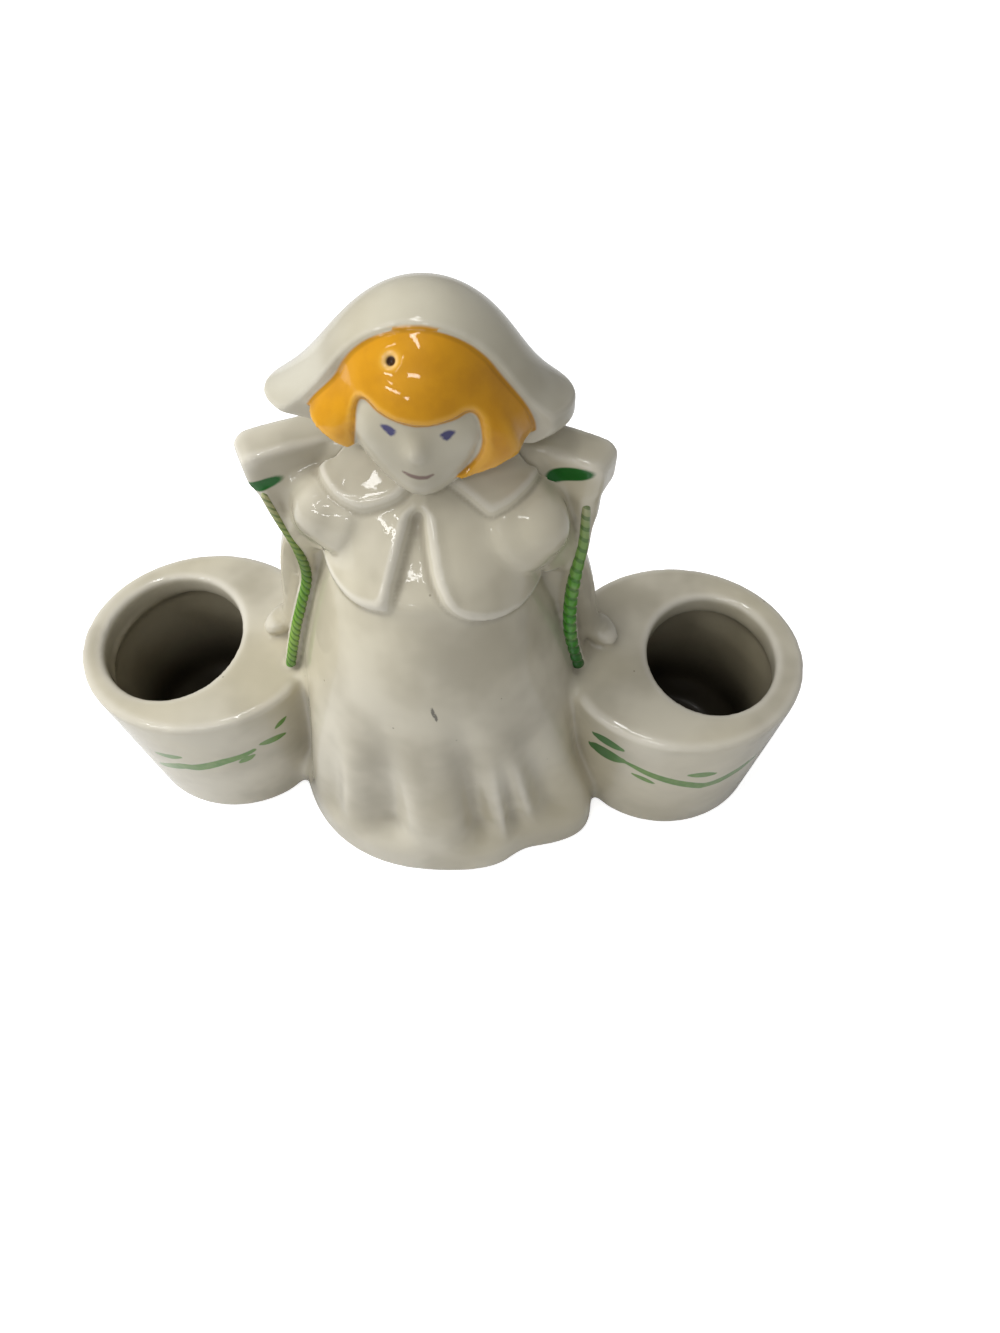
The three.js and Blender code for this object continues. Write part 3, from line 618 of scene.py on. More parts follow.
def pail_skin(side, height):
    """Ovals in a row, each with its own centre: foot, side, rim, flat top, mouth, lip, hollow and floor."""
    mouth = MOUTH_RADIUS[side]
    rows = [[PAIL_SPACING, 0, 0, 0.0], [PAIL_SPACING, 0.97 * PAIL_FOOT_HALF_WIDTH, 0.97 * PAIL_FOOT_HALF_DEPTH, 0.0]]
    for z in np.linspace(0.9, height - PAIL_RIM, 40):
        rows.append([PAIL_SPACING, *pail_half(z, height), z])
    top_width, top_depth = pail_half(height, height)
    for turn in np.radians(np.linspace(0, 90, 9)[1:]):
        inset = PAIL_RIM * (1 - math.cos(turn))
        rows.append([PAIL_SPACING, top_width - inset, top_depth - inset, height - PAIL_RIM * (1 - math.sin(turn))])
    edge, lip = np.array(rows[-1]), mouth + LIP_ROUND
    centre = PAIL_SPACING + MOUTH_SHIFT
    for share in np.linspace(0, 1, 24)[1:]:
        rows.append(list(mix(edge, np.array([centre, lip, lip * MOUTH_STRETCH, height]), share)))
    for turn in np.radians(np.linspace(0, 90, 6)[1:]):
        inset = LIP_ROUND * math.sin(turn)
        rows.append([centre, lip - inset, (lip - inset) * MOUTH_STRETCH, height - LIP_ROUND * (1 - math.cos(turn))])
    for z in np.linspace(height - LIP_ROUND, height - LIP, 8)[1:]:
        rows.append([centre, mouth, mouth * MOUTH_STRETCH, z])
    top = height - LIP
    walls = [(z, 1) for z in np.linspace(top - 4, PAIL_FLOOR + 4, 20)]
    for z, share in [(top, 0.93), (top - 2, 1), *walls, (PAIL_FLOOR, 0.75)]:
        inner = skirt_radius(0.0, z, 0) + 0.3 + PAIL_WALL
        half_width, half_depth = pail_half(z, height)
        outer = PAIL_SPACING + half_width - PAIL_WALL
        rows.append([(inner + outer) / 2, share * (outer - inner) / 2, share * (half_depth - PAIL_WALL), z])
    rows.append([rows[-1][0], 0, 0, PAIL_FLOOR])
    row = np.array(rows)[:, :, None]
    angle = angles(260)
    radius = superellipse(angle, np.maximum(row[:, 1], 1e-4), np.maximum(row[:, 2], 1e-4), 2.0)
    return closed_skin(rings(radius, angle, row[:, 3], row[:, 0]) * [side, 1, 1])


# Head

HEAD_HEIGHT = 107.0
HEAD_MIDDLE = np.array([HEAD_SHIFT, HEAD_SET, HEAD_HEIGHT])
FACE_FORWARD = 1.0
FACE_HALF = np.array([12.8, 12.9, 13.3])
JAW_FULLNESS = 3.0
NOSE_LENGTH = 1.4
CHIN_LENGTH = 2.6
NECK_RADIUS = 7.0
HAIR_THICKNESS = 2.0
HAIR_FOOT = 98.6
CAP_HALF_WIDTH = 16.4
CAP_HALF_DEPTH = 15.6
CAP_HEM = 99.5
CAP_EDGE = 0.0
CAP_FOOT = 106.0
WING_TURN = 25.0

# The locks' flare: how far out, from and to which share of the half width, and from and to which height
HAIR_FLARE = {-1: (5.2, 0.6, 0.92, 104.5, 114.0), 1: (3.7, 0.5, 0.85, 103.0, 115.0)}

# Each wing of the cap: its reach, the top and foot of its tip, and how softly it fades above and below
WING = {-1: (10.2, 105.6, 105.0, 5.4, 1.6), 1: (7.9, 105.4, 102.0, 4.2, 3.2)}


def bump(p, x, y, z, width):
    """A soft bump round one direction of the unit sphere."""
    return np.exp(-((p[..., 0] - x) ** 2 + (p[..., 1] - y) ** 2 + (p[..., 2] - z) ** 2) / width**2)


def bumps(p, x, y, z, width):
    """The same bump on the right and on the left."""
    return bump(p, x, y, z, width) + bump(p, -x, y, z, width)


def face_skin():
    """A ball with a full jaw, cheeks, small nose, lips and chin, and shallow eye sockets."""
    p = ball(130, 200)
    low = np.maximum(0, -p[..., 2])
    full = np.maximum(0, 1 - low**JAW_FULLNESS) ** (1 / JAW_FULLNESS) / np.sqrt(np.maximum(1e-6, 1 - low**2))
    forward = 0.7 * bumps(p, 0.5, -0.8, -0.36, 0.42) + 1.3 * bumps(p, 0.76, -0.65, 0.02, 0.36)
    forward += 0.8 * NOSE_LENGTH * bump(p, 0, -1, -0.12, 0.15) + 0.3 * bump(p, 0, -1, 0.05, 0.14)
    forward += CHIN_LENGTH * bump(p, 0, -0.6, -0.8, 0.4) + 0.45 * bump(p, 0, -0.86, -0.5, 0.2)
    forward -= 0.35 * bumps(p, 0.34, -0.93, 0.16, 0.24)
    forward -= 0.2 * bump(p, 0, -0.85, -0.52, 0.08)
    x = HEAD_SHIFT + FACE_HALF[0] * p[..., 0] * mix(1, full, 0.6) * (1 - 0.1 * low)
    y = HEAD_SET - FACE_FORWARD + FACE_HALF[1] * p[..., 1] * full - forward
    return closed_skin(np.stack([x, y, HEAD_HEIGHT + FACE_HALF[2] * p[..., 2]], -1))


def neck_skin():
    """A plain short column from the shoulders into the head."""
    z = np.array([[SHOULDER_TOP - 8], [SHOULDER_TOP - 8], [HEAD_HEIGHT], [HEAD_HEIGHT]])
    radius = np.array([[0], [NECK_RADIUS], [NECK_RADIUS], [0]]) + 0 * angles(60)
    return closed_skin(rings(radius, angles(60), z, HEAD_SHIFT, HEAD_SET + 1))


# The outline of the window that the face looks out of, seen from the front
FACE_WINDOW = np.vstack(
    [
        arc((-11.6, 92.0), (-11.2, 98.0), (-9.4, 104.0), (-8.7, 109.0)),
        arc((-8.7, 109.0), (-8.4, 112.0), (-7.6, 113.8), (-5.4, 112.4)),
        arc((-5.4, 112.4), (-2.6, 110.5), (4.4, 110.3), (7.6, 111.2)),
        arc((7.6, 111.2), (9.8, 112.2), (11.0, 110.8), (11.2, 107.4)),
        arc((11.2, 107.4), (11.5, 104.4), (10.2, 101.8), (7.2, 99.8)),
        [[3.0, 92.0]],
    ]
)


def in_window(points):
    """How far each point of the front lies inside the face window, seen from the front."""
    flat = points.reshape(-1, 3)
    inside = away_from_outline(flat[:, 0], flat[:, 2], FACE_WINDOW)
    return np.where(flat[:, 1] < HEAD_SET - 2, inside, -FAR).reshape(points.shape[:-1])


def hair_end(x):
    """The level of the hair's lower edge: each lock is lowest at its inner side, and the left one ends higher."""
    left = 103.6 + 0.55 * np.clip(-10.6 - x, 0, 7)
    right = 99.2 + 0.38 * np.clip(x - 9.0, 0, 10)
    return mix(left, right, ramp(x, -8.6, 7.0))


def hair_top():
    """The height of the hair's crown."""
    return HEAD_HEIGHT + FACE_HALF[2] + HAIR_THICKNESS


def head_shrink(z):
    """How much narrower the dome of the head is at a height than at its middle."""
    rise = np.clip((z - HEAD_HEIGHT) / (hair_top() - HEAD_HEIGHT), 0, 1)
    return np.sqrt(np.maximum(1e-6, 1 - rise**2))


def hair_radius(angle, z):
    """A dome with straight sides, which flare out at the locks and turn in again at their lower edge."""
    half = FACE_HALF[:2] + HAIR_THICKNESS
    shrink = head_shrink(z)
    radius = superellipse(angle, (half[0] - 0.4) * shrink, half[1] * shrink, 2)
    front = 1 - ramp(np.sin(angle), -0.3, 0.12)
    for side, (out, start, full, low, high) in HAIR_FLARE.items():
        flare = out * ramp(side * np.cos(angle), start, full) * (1 - ramp(z, low, high))
        radius = radius + front * (flare - 0.25 * flare * ramp(low - z, 0, 5))
    # A few soft strands run down the locks
    lock = ramp(np.abs(np.cos(angle)), 0.62, 0.8) * (1 - ramp(z, 104, 112)) * front
    return radius + 0.22 * lock * np.cos(21 * angle + 0.3 * z)


def hair_skin():
    """The hair's dome and locks, pushed into the head at the face window."""
    angle = angles(320)
    dome = mix(HEAD_HEIGHT, hair_top(), np.sin(np.radians(np.linspace(0, 90, 70)[1:])))
    z = np.r_[np.linspace(HAIR_FOOT, HEAD_HEIGHT, 40), dome][:, None]
    grid = rings(hair_radius(angle, z), angle, z, HEAD_SHIFT, HEAD_SET)
    shrink = head_shrink(z)
    under = np.minimum(shrink, np.sqrt(np.clip(1 - ((z - HEAD_HEIGHT) / FACE_HALF[2]) ** 2, 0.05, 1)))
    sunk = superellipse(angle, 0.84 * FACE_HALF[0] * under, 0.84 * FACE_HALF[1] * under, 2)
    window = ramp(in_window(grid), -0.45, 0.25)[..., None]
    grid = mix(grid, rings(sunk, angle, z, HEAD_SHIFT, HEAD_SET), window)
    grid[..., 2] = np.maximum(grid[..., 2], hair_end(grid[..., 0]))
    foot = grid[:1] * [0, 0, 1] + [HEAD_SHIFT, HEAD_SET, 0]
    return closed_skin(np.concatenate([foot, grid]))


def wing_reach(side, z):
    """Reach of one wing at a height: full between the top and foot of its tip, with a soft fall above and below."""
    out, top, foot, above, below = WING[side]
    over = np.maximum(0, z - top) / above
    under = np.maximum(0, foot - z) / below
    return out * np.exp(-(over**1.1) - under**1.5)


def cap_radius(angle, z):
    """A dome with a wing at each side, which is thin and pointed on the left and blunt on the right."""
    rise = np.clip((z - CAP_FOOT) / (CAP_PEAK - CAP_FOOT), 0, 1)
    dome = np.sqrt(np.maximum(1e-6, 1 - rise**2))
    wing = np.where(np.cos(angle) < 0, wing_reach(-1, z), wing_reach(1, z)) * (1 - rise**4)
    turn = np.arccos(np.clip(np.abs(np.cos(angle)), 0, 1)) / math.radians(WING_TURN)
    return superellipse(angle, CAP_HALF_WIDTH * dome, CAP_HALF_DEPTH * dome, 2) + wing * np.exp(-(turn**2))


def cap_skin():
    """The crown and its wings from the hem to the peak, cut off straight in front."""
    angle = angles(320)
    share = np.sin(np.radians(np.linspace(0, 90, 80)))[:, None]
    z = mix(CAP_HEM, CAP_PEAK, share) + 0 * angle
    grid = rings(cap_radius(angle, z), angle, z, HEAD_SHIFT, HEAD_SET + 1)
    centre = np.array([HEAD_SHIFT, HEAD_SET + 1, 0])
    grid = np.concatenate([grid[:1] * [0, 0, 1] + centre, grid])
    grid[..., 1] = np.maximum(grid[..., 1], CAP_EDGE)
    return closed_skin(grid)


# Joining, rounding and parting the clay


def new_mesh(name, verts, faces, scale=MM):
    """A mesh from points and groups of faces."""
    mesh = bpy.data.meshes.new(name)
    mesh.from_pydata((verts * scale).tolist(), [], [face for group in faces for face in group.tolist()])
    return mesh


def joined(skins, voxel):
    """One skin round all the given closed surfaces, as points and quads of about the given edge length."""
    verts, faces, start = [], [], 0
    for skin_verts, skin_faces in skins:
        verts.append(skin_verts)
        faces += [group + start for group in skin_faces]
        start += len(skin_verts)
    body = bpy.data.objects.new("clay", new_mesh("clay", np.vstack(verts), faces, scale=1.0))
    bpy.context.scene.collection.objects.link(body)
    remesh = body.modifiers.new("skin", "REMESH")
    remesh.mode = "VOXEL"
    remesh.voxel_size = voxel
    remesh.adaptivity = 0
    bpy.context.view_layer.update()
    made = body.evaluated_get(bpy.context.evaluated_depsgraph_get()).to_mesh()
    points = np.empty(len(made.vertices) * 3)
    made.vertices.foreach_get("co", points)
    quads = np.empty(len(made.loops), np.int64)
    made.loops.foreach_get("vertex_index", quads)
    if len(quads) != 4 * len(made.polygons):
        raise RuntimeError("the joined skin isn't made of quads alone")
    old = body.data
    bpy.data.objects.remove(body)
    bpy.data.meshes.remove(old)
    return points.reshape(-1, 3), quads.reshape(-1, 4)


def edges_of(quads):
    """Each edge of a quad mesh once."""
    pairs = np.sort(np.stack([quads, np.roll(quads, -1, 1)], -1).reshape(-1, 2), 1)
    return np.unique(pairs, axis=0)


def neighbour_mean(values, edges):
    """The mean of each vertex's neighbours."""
    count = len(values)
    degree = np.bincount(edges.ravel(), minlength=count)
    total = np.empty_like(values)
    for column in range(values.shape[1]):
        ahead = np.bincount(edges[:, 0], values[edges[:, 1], column], count)
        total[:, column] = ahead + np.bincount(edges[:, 1], values[edges[:, 0], column], count)
    return total / np.maximum(degree, 1)[:, None]


def relaxed(values, edges, rounds, share=0.5):
    """Values that move a share of the way to their neighbours' mean in each round."""
    for _ in range(rounds):
        values = values + share * (neighbour_mean(values, edges) - values)
    return values


def normals_of(verts, quads):
    """Vertex normals: the cross products of the quads' diagonals, added up and made unit length."""
    cross = np.cross(verts[quads[:, 2]] - verts[quads[:, 0]], verts[quads[:, 3]] - verts[quads[:, 1]])
    total = np.empty_like(verts)
    for axis in range(3):
        total[:, axis] = np.bincount(quads.ravel(), np.repeat(cross[:, axis], 4), len(verts))
    return total / np.maximum(np.linalg.norm(total, axis=1), 1e-12)[:, None]


def soft_normals(verts, quads, edges):
    """Outward directions that change slowly over the skin, to raise a layer of cloth along."""
    outward = relaxed(normals_of(verts, quads), edges, 8)
    return outward / np.linalg.norm(outward, axis=1)[:, None]


def eased(verts, quads, edges):
    """Presses the skin flat where a raised layer would fold over itself."""
    away = (normals_of(verts, quads) * soft_normals(verts, quads, edges)).sum(1)
    sharp = relaxed((1 - ramp(away, 0.5, 0.88))[:, None], edges, 3)
    return relaxed(verts, edges, 30, 0.5 * np.minimum(1, 2 * sharp))


def crease_of(verts, edges, normals, width):
    """How hollow the skin is, in 1/mm: how far the neighbours' mean lies outwards, evened out over a width."""
    step = np.linalg.norm(verts[edges[:, 0]] - verts[edges[:, 1]], axis=1).mean()
    lean = np.einsum("ij,ij->i", neighbour_mean(verts, edges) - verts, normals)[:, None] * 4 / step**2
    return relaxed(lean, edges, int((width / step) ** 2))[:, 0]


def evened(owner, count, edges):
    """Which of some parts each vertex belongs to, with the borders between them evened out."""
    shares = (owner[:, None] == np.arange(count)[None, :]).astype(float)
    return np.argmax(relaxed(shares, edges, 6), axis=1)


def loop_anchors(verts, normals, edge):
    """One point inside the clay for each closed loop of border edges: the loop's middle, sunk a little."""
    label = np.arange(len(verts))
    while True:
        low = np.minimum(label[edge[:, 0]], label[edge[:, 1]])
        after = label.copy()
        np.minimum.at(after, edge[:, 0], low)
        np.minimum.at(after, edge[:, 1], low)
        after = after[after]
        if np.array_equal(after, label):
            break
        label = after
    loops, which = np.unique(label[edge[:, 0]], return_inverse=True)
    weight = np.bincount(which)[:, None]
    middle = np.stack([np.bincount(which, verts[edge[:, 0], axis]) for axis in range(3)], -1) / weight
    lean = np.stack([np.bincount(which, normals[edge[:, 0], axis]) for axis in range(3)], -1) / weight
    return middle - lean, which


# How far in mm a piece's border goes in before its fan, and how far inside the skin a thin piece's inner side lies
BORDER_DEPTH = 1.2
INNER_SIDE = 1.0


def part_of(verts, quads, normals, layers, chosen, thickness):
    """The chosen quads as a closed mesh: walls go in from the border, down to an inner copy of the skin or to fans.

    With a thickness the inner side is a copy of the skin that far inside it, and without one each border loop is
    closed by a fan to a point inside the clay.
    """
    kept = quads[chosen]
    ahead = np.stack([kept, np.roll(kept, -1, 1)], -1).reshape(-1, 2)
    key = ahead[:, 0] * len(verts) + ahead[:, 1]
    border = ahead[~np.isin(key, ahead[:, 1] * len(verts) + ahead[:, 0])]
    used, index = np.unique(kept, return_inverse=True)
    index = index.reshape(-1, 4)
    points, outward = verts[used], normals[used]
    values = {name: layer[used] for name, layer in layers.items()}
    faces, count = [index], len(points)
    if len(border):
        edge = np.searchsorted(used, border)
        sunk = points - (thickness or BORDER_DEPTH) * outward
        faces.append(np.stack([edge[:, 1], edge[:, 0], count + edge[:, 0], count + edge[:, 1]], -1))
        points, outward = np.vstack([points, sunk]), np.vstack([outward, -outward])
        values = {name: np.r_[layer, layer] for name, layer in values.items()}
        if thickness:
            faces.append(count + index[:, ::-1])
        else:
            anchor, which = loop_anchors(sunk, outward[:count], edge)
            faces.append(np.stack([count + edge[:, 1], count + edge[:, 0], 2 * count + which], -1))
            points = np.vstack([points, anchor])
            outward = np.vstack([outward, np.tile([0.0, 0.0, 1.0], (len(anchor), 1))])
            values = {name: np.r_[layer, np.full(len(anchor), layer.mean())] for name, layer in values.items()}
            # Only the border of the inner copy is used
            live = np.unique(np.concatenate([group.ravel() for group in faces]))
            faces = [np.searchsorted(live, group) for group in faces]
            points, outward = points[live], outward[live]
            values = {name: layer[live] for name, layer in values.items()}
    return points, faces, outward, values


def add_piece(name, verts, faces, normals, layers, material, nodes):
    """A finished piece: its mesh with normals and paint layers, riding with the model and standing for its nodes."""
    mesh = new_mesh(name, verts, faces)
    mesh.shade_smooth()
    if normals is not None:
        mesh.normals_split_custom_set_from_vertices(normals.tolist())
    for layer, values in layers.items():
        mesh.attributes.new(layer, "FLOAT", "POINT").data.foreach_set("value", values.astype(np.float32))
    mesh.materials.append(material)
    piece = bpy.data.objects.new(name, mesh)
    bpy.context.scene.collection.objects.link(piece)
    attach(piece, "root")
    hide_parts(*nodes)
    return piece


# The big pieces keep a single skin, and the thin ones get an inner side that follows the outer one
SINGLE_SKIN = ("skirt", "pail_left", "pail_right", "head", "hair", "cap")


def add_pieces(verts, quads, normals, owner, layers, material, nodes):
    """A piece for each node from the quads of the skin that the node owns, all with the given material; each node's
    slot name is not used.
    """
    own = np.sort(owner[quads], 1)[:, 1]
    for index, (name, slot) in enumerate(nodes):
        chosen = own == index
        if not chosen.any():
            raise RuntimeError(f"the skin has no part for {name}")
        thickness = 0.0 if name in SINGLE_SKIN else INNER_SIDE
        points, faces, outward, values = part_of(verts, quads, normals, layers, chosen, thickness)
        add_piece(f"{name}_glazed", points, faces, outward, values, material, [name])


# Brushwork


def stroke(points, line, half_width):
    """Signed distance to a brush stroke that swells in the middle: negative inside it."""
    line = np.asarray(line, float)
    nearest = np.full(len(points), np.inf)
    steps = np.linalg.norm(np.diff(line, axis=0), axis=1)
    begun = np.r_[0, np.cumsum(steps)]
    for (distance, share), step, start in zip(line_stretches(points, line), steps, begun):
        along = (start + share * step) / begun[-1]
        width = half_width * (0.35 + 0.65 * np.sin(np.pi * np.clip(along, 0.02, 0.98)) ** 0.6)
        nearest = np.minimum(nearest, distance - width)
    return nearest


def nearest_stroke(points, strokes, scale=1):
    """Signed distance to the nearest of some strokes: each is a half width and the points of its line."""
    return np.min([stroke(points, np.array(line) * scale, half_width) for half_width, line in strokes], axis=0)


# Brush strokes on the pails' fronts: half width in mm, then [degrees from the front, height in mm] along the stroke
VINE_LEFT = (
    (1.5, ((-31, 19.0), (-22, 21.2), (-12, 23.4), (-4, 23.6), (4, 24.8), (14, 26.4), (24, 27.2), (31, 28.2))),
    (1.2, ((36, 29.6), (42, 29.0), (49, 28.4))),
    (1.1, ((-25, 27.0), (-17, 27.6), (-9, 28.6))),
    (1.1, ((22, 24.6), (30, 26.0))),
    (0.9, ((46, 33.0), (52, 34.6))),
)
VINE_RIGHT = (
    (2.4, ((-50, 27.8), (-44, 28.8), (-38, 29.4), (-31, 30.0))),
    (1.7, ((-48, 34.2), (-40, 35.0), (-32, 35.0))),
    (
        1.4,
        ((-31, 30.2), (-24, 29.4), (-16, 28.0), (-6, 26.4), (6, 24.4), (16, 22.6), (26, 23.0), (36, 24.6), (46, 27.0)),
    ),
    (0.9, ((-24, 25.6), (-18, 24.8), (-12, 23.6))),
    (1.3, ((6, 29.4), (13, 29.0), (20, 28.4))),
    (1.5, ((20, 23.0), (29, 23.8), (38, 25.4), (46, 27.4))),
)


# Glazes


def fill(tree, node, inputs):
    """Fills a node's inputs with values or other nodes' sockets."""
    for key, value in inputs.items():
        if isinstance(value, bpy.types.NodeSocket):
            tree.links.new(value, node.inputs[key])
        else:
            node.inputs[key].default_value = value


def add_node(tree, kind, inputs=None, **settings):
    """Adds a node, makes its settings and fills its inputs."""
    made = tree.nodes.new(kind)
    for name, value in settings.items():
        setattr(made, name, value)
    fill(tree, made, inputs or {})
    return made


def new_material(name, inputs):
    """A material, its node tree and its shader, with some of the shader's inputs filled."""
    material = bpy.data.materials.new(name)
    material.use_nodes = True
    shader = material.node_tree.nodes["Principled BSDF"]
    fill(material.node_tree, shader, inputs)
    return material, material.node_tree, shader


def opaque(colour):
    """A colour for a node: a socket as it is, and a hex colour or a user's choice with full alpha."""
    if isinstance(colour, bpy.types.NodeSocket):
        return colour
    return (*(linear(colour) if isinstance(colour, str) else colour), 1.0)


def painted(tree, below, share, colour):
    """One coat of colour over another, by a share."""
    coat = add_node(tree, "ShaderNodeMix", {0: share, 6: opaque(below), 7: opaque(colour)}, data_type="RGBA")
    return coat.outputs[2]


def spread(tree, value, low, high, to_low=0.0, to_high=1.0):
    """A value carried smoothly from one range to another."""
    moved = add_node(
        tree,
        "ShaderNodeMapRange",
        {0: value, 1: low, 2: high, 3: to_low, 4: to_high},
        interpolation_type="SMOOTHSTEP",
    )
    return moved.outputs[0]


def clouds(tree, place, size_mm, detail=2.0):
    """Soft random variation with a real size."""
    noise = add_node(tree, "ShaderNodeTexNoise", {"Vector": place, "Scale": 1 / (size_mm * MM), "Detail": detail})
    return noise.outputs["Fac"]


def layer_value(tree, name):
    """A paint layer of the piece."""
    return add_node(tree, "ShaderNodeAttribute", attribute_name=name).outputs["Fac"]


def times(tree, first, second):
    """Two values multiplied."""
    return add_node(tree, "ShaderNodeMath", {0: first, 1: second}, operation="MULTIPLY").outputs[0]


def layered(tree, below, layer, low, high, share, colour):
    """A coat of colour that comes in from low to high values of a paint layer, up to a share."""
    return painted(tree, below, spread(tree, layer_value(tree, layer), low, high, 0, share), colour)


def clouded(tree, below, place, size_mm, detail, low, high, share, colour):
    """A coat of colour in soft patches of a real size, up to a share."""
    return painted(tree, below, spread(tree, clouds(tree, place, size_mm, detail), low, high, 0, share), colour)


# Fired earthenware is nearly matt, and the clear lead-free glaze over it is as smooth as glass
GLAZED_CLAY = {
    "Roughness": 0.42,
    "IOR": 1.5,
    "Specular IOR Level": 0.15,
    "Coat Weight": 1.0,
    "Coat Roughness": 0.045,
    "Coat IOR": 1.4,
}


def start_glaze(name):
    """A material with a shiny coat over a duller body, and its place on the object."""
    material, tree, shader = new_material(name, GLAZED_CLAY)
    return material, tree, shader, add_node(tree, "ShaderNodeTexCoord").outputs["Object"]


# The unevenness of poured glaze in mm: from wave to wave, from dimple to dimple of its orange peel, and how high
WAVE_LENGTH, PEEL_LENGTH, WAVE_RISE = 7.0, 1.1, 0.35


def ripple(tree, shader, place):
    """The gentle waves of poured glaze, with fine orange peel on them."""
    wave = clouds(tree, place, WAVE_LENGTH, 1.0)
    peel = clouds(tree, place, PEEL_LENGTH, 2.0)
    height = add_node(tree, "ShaderNodeMath", {0: peel, 1: 0.1, 2: wave}, operation="MULTIPLY_ADD").outputs[0]
    bumped = add_node(tree, "ShaderNodeBump", {"Strength": 0.35, "Distance": WAVE_RISE * MM, "Height": height})
    fill(tree, shader, {"Normal": bumped.outputs["Normal"], "Coat Normal": bumped.outputs["Normal"]})


def finish_glaze(material, tree, shader, place, base):
    """The material with its colour and its ripple."""
    fill(tree, shader, {"Base Color": base})
    ripple(tree, shader, place)
    return material


def glazed_clay(tree, place, colours, clay, depth):
    """Warm grey-white clay: cloudy, darker in creases as pooled glaze and painted shade, paler on edges as thinner
    glaze and painted highlight, with a few iron specks.
    """
    base = clouded(tree, clay, place, 20.0, 3.0, 0.38, 0.66, 0.75, "#a49d8a")
    base = clouded(tree, base, place, 34.0, 1.0, 0.4, 0.65, 0.35, "#c8bfa2")
    # Darker in creases: pooled glaze and painted shade
    base = layered(tree, base, "crease", 0.03, 0.7, depth, colours.pooled_glaze_and_shade)
    # Paler on convex edges: thinner glaze and painted highlight
    base = layered(tree, base, "crease", -0.12, -0.6, 0.5 * depth, "#e4e0d6")
    # Iron specks in the clay, about 0.4 mm across and 9 mm apart
    speck = add_node(tree, "ShaderNodeTexVoronoi", {"Vector": place, "Scale": 1 / (5 * MM), "Randomness": 1.0})
    near = spread(tree, speck.outputs["Distance"], 0.035, 0.055, 1, 0)
    some = spread(tree, speck.outputs["Color"], 0.62, 0.66, 0, 0.55)
    return painted(tree, base, times(tree, near, some), "#6e6557")


def white_glaze(colours):
    """Slip-cast earthenware under clear glaze, with green brushwork and painted shade inside the pails: gives soft
    depth under crisp highlights.
    """
    material, tree, shader, place = start_glaze("glazed_white_earthenware")
    base = glazed_clay(tree, place, colours, colours.clay, 0.7)
    thin = spread(tree, clouds(tree, place, 1.6, 3.0), 0.35, 0.7)
    tone = spread(tree, layer_value(tree, "tone"), 0.0, 1.0)
    green = painted(tree, colours.leaf, tone, colours.stem)
    green = painted(tree, green, times(tree, thin, times(tree, tone, 0.35)), "#7c9648")
    base = layered(tree, base, "brush", 0.2, -0.2, 1, green)
    # Painted shade inside the pails: darker just below the rim and near black towards the floors
    base = layered(tree, base, "inside", 0.8, 8.0, 0.6, "#7f745a")
    base = layered(tree, base, "inside", 12.0, 32.0, 0.9, "#1a150f")
    base = layered(tree, base, "scratch", 0.12, -0.12, 0.85, "#56524b")
    # Little glaze ran to the floors of the pails, so they hardly shine
    shine = spread(tree, layer_value(tree, "inside"), 16.0, 26.0, 1.0, 0.05)
    fill(tree, shader, {"Coat Weight": shine})
    return finish_glaze(material, tree, shader, place, base)


def head_glaze(colours):
    """The same glaze over a painted head: mustard hair, with painted shade and pooled glaze in its hollows and painted
    highlight on its rounds, blue eyes and a brown mouth.
    """
    material, tree, shader, place = start_glaze("glazed_painted_earthenware")
    base = glazed_clay(tree, place, colours, colours.pale, 0.25)
    hair = clouded(tree, colours.hair, place, 4.0, 3.0, 0.35, 0.7, 0.5, "#b87d08")
    # Painted shade in the hair's hollows, with the glaze that pools there
    hair = layered(tree, hair, "crease", 0.05, 0.6, 0.35, "#7c5806")
    # Painted highlight on the hair's rounds, where the glaze is also thinner
    hair = layered(tree, hair, "crease", -0.1, -0.5, 0.5, "#e0aa38")
    for layer, low, high, share, colour in (
        ("hair", 0.22, -0.22, 1, hair),
        ("pit", 0.9, 0.3, 0.55, "#f0cd8c"),
        ("pit", 0.25, -0.1, 1, "#3a220c"),
        ("eye", 0.3, -0.25, 0.92, colours.eye),
        ("mouth", 0.22, -0.18, 0.85, colours.mouth),
    ):
        base = layered(tree, base, layer, low, high, share, colour)
    return finish_glaze(material, tree, shader, place, base)


def rope_glaze(name, stops):
    """Green brushed over relief rope, darker between the strands as thicker paint and painted shade: each stop is a
    height and a colour.
    """
    material, tree, shader, place = start_glaze(name)
    height = add_node(tree, "ShaderNodeSeparateXYZ", {0: place}).outputs[2]
    green = stops[0][1]
    for (low, _), (high, colour) in zip(stops[:-1], stops[1:]):
        green = painted(tree, green, spread(tree, height, low * MM, high * MM), colour)
    green = clouded(tree, green, place, 3.0, 3.0, 0.4, 0.75, 0.35, "#9aa873")
    # Darker in the grooves: thicker paint there and painted shade
    green = layered(tree, green, "groove", 0.1, 0.6, 0.55, "#2a5a1c")
    return finish_glaze(material, tree, shader, place, green)


# Operators


def on_ball(points, centre, half):
    """Rough distance to an oval ball: its scaled radius less one, times its mean half size."""
    return (np.linalg.norm((points - centre) / half, axis=1) - 1) * np.mean(half)


def off_sleeve(points, side):
    """Rough distance to a sleeve."""
    middle, half = SLEEVE[side]
    return on_ball(points, middle * [side, 1, 1], half)


# Mean radii in mm of an arm, a web, a hand and the yoke, for telling whose skin a place is
ARM_MEAN, WEB_MEAN, HAND_MEAN, YOKE_MEAN = 3.8, 2.6, 3.6, 4.6


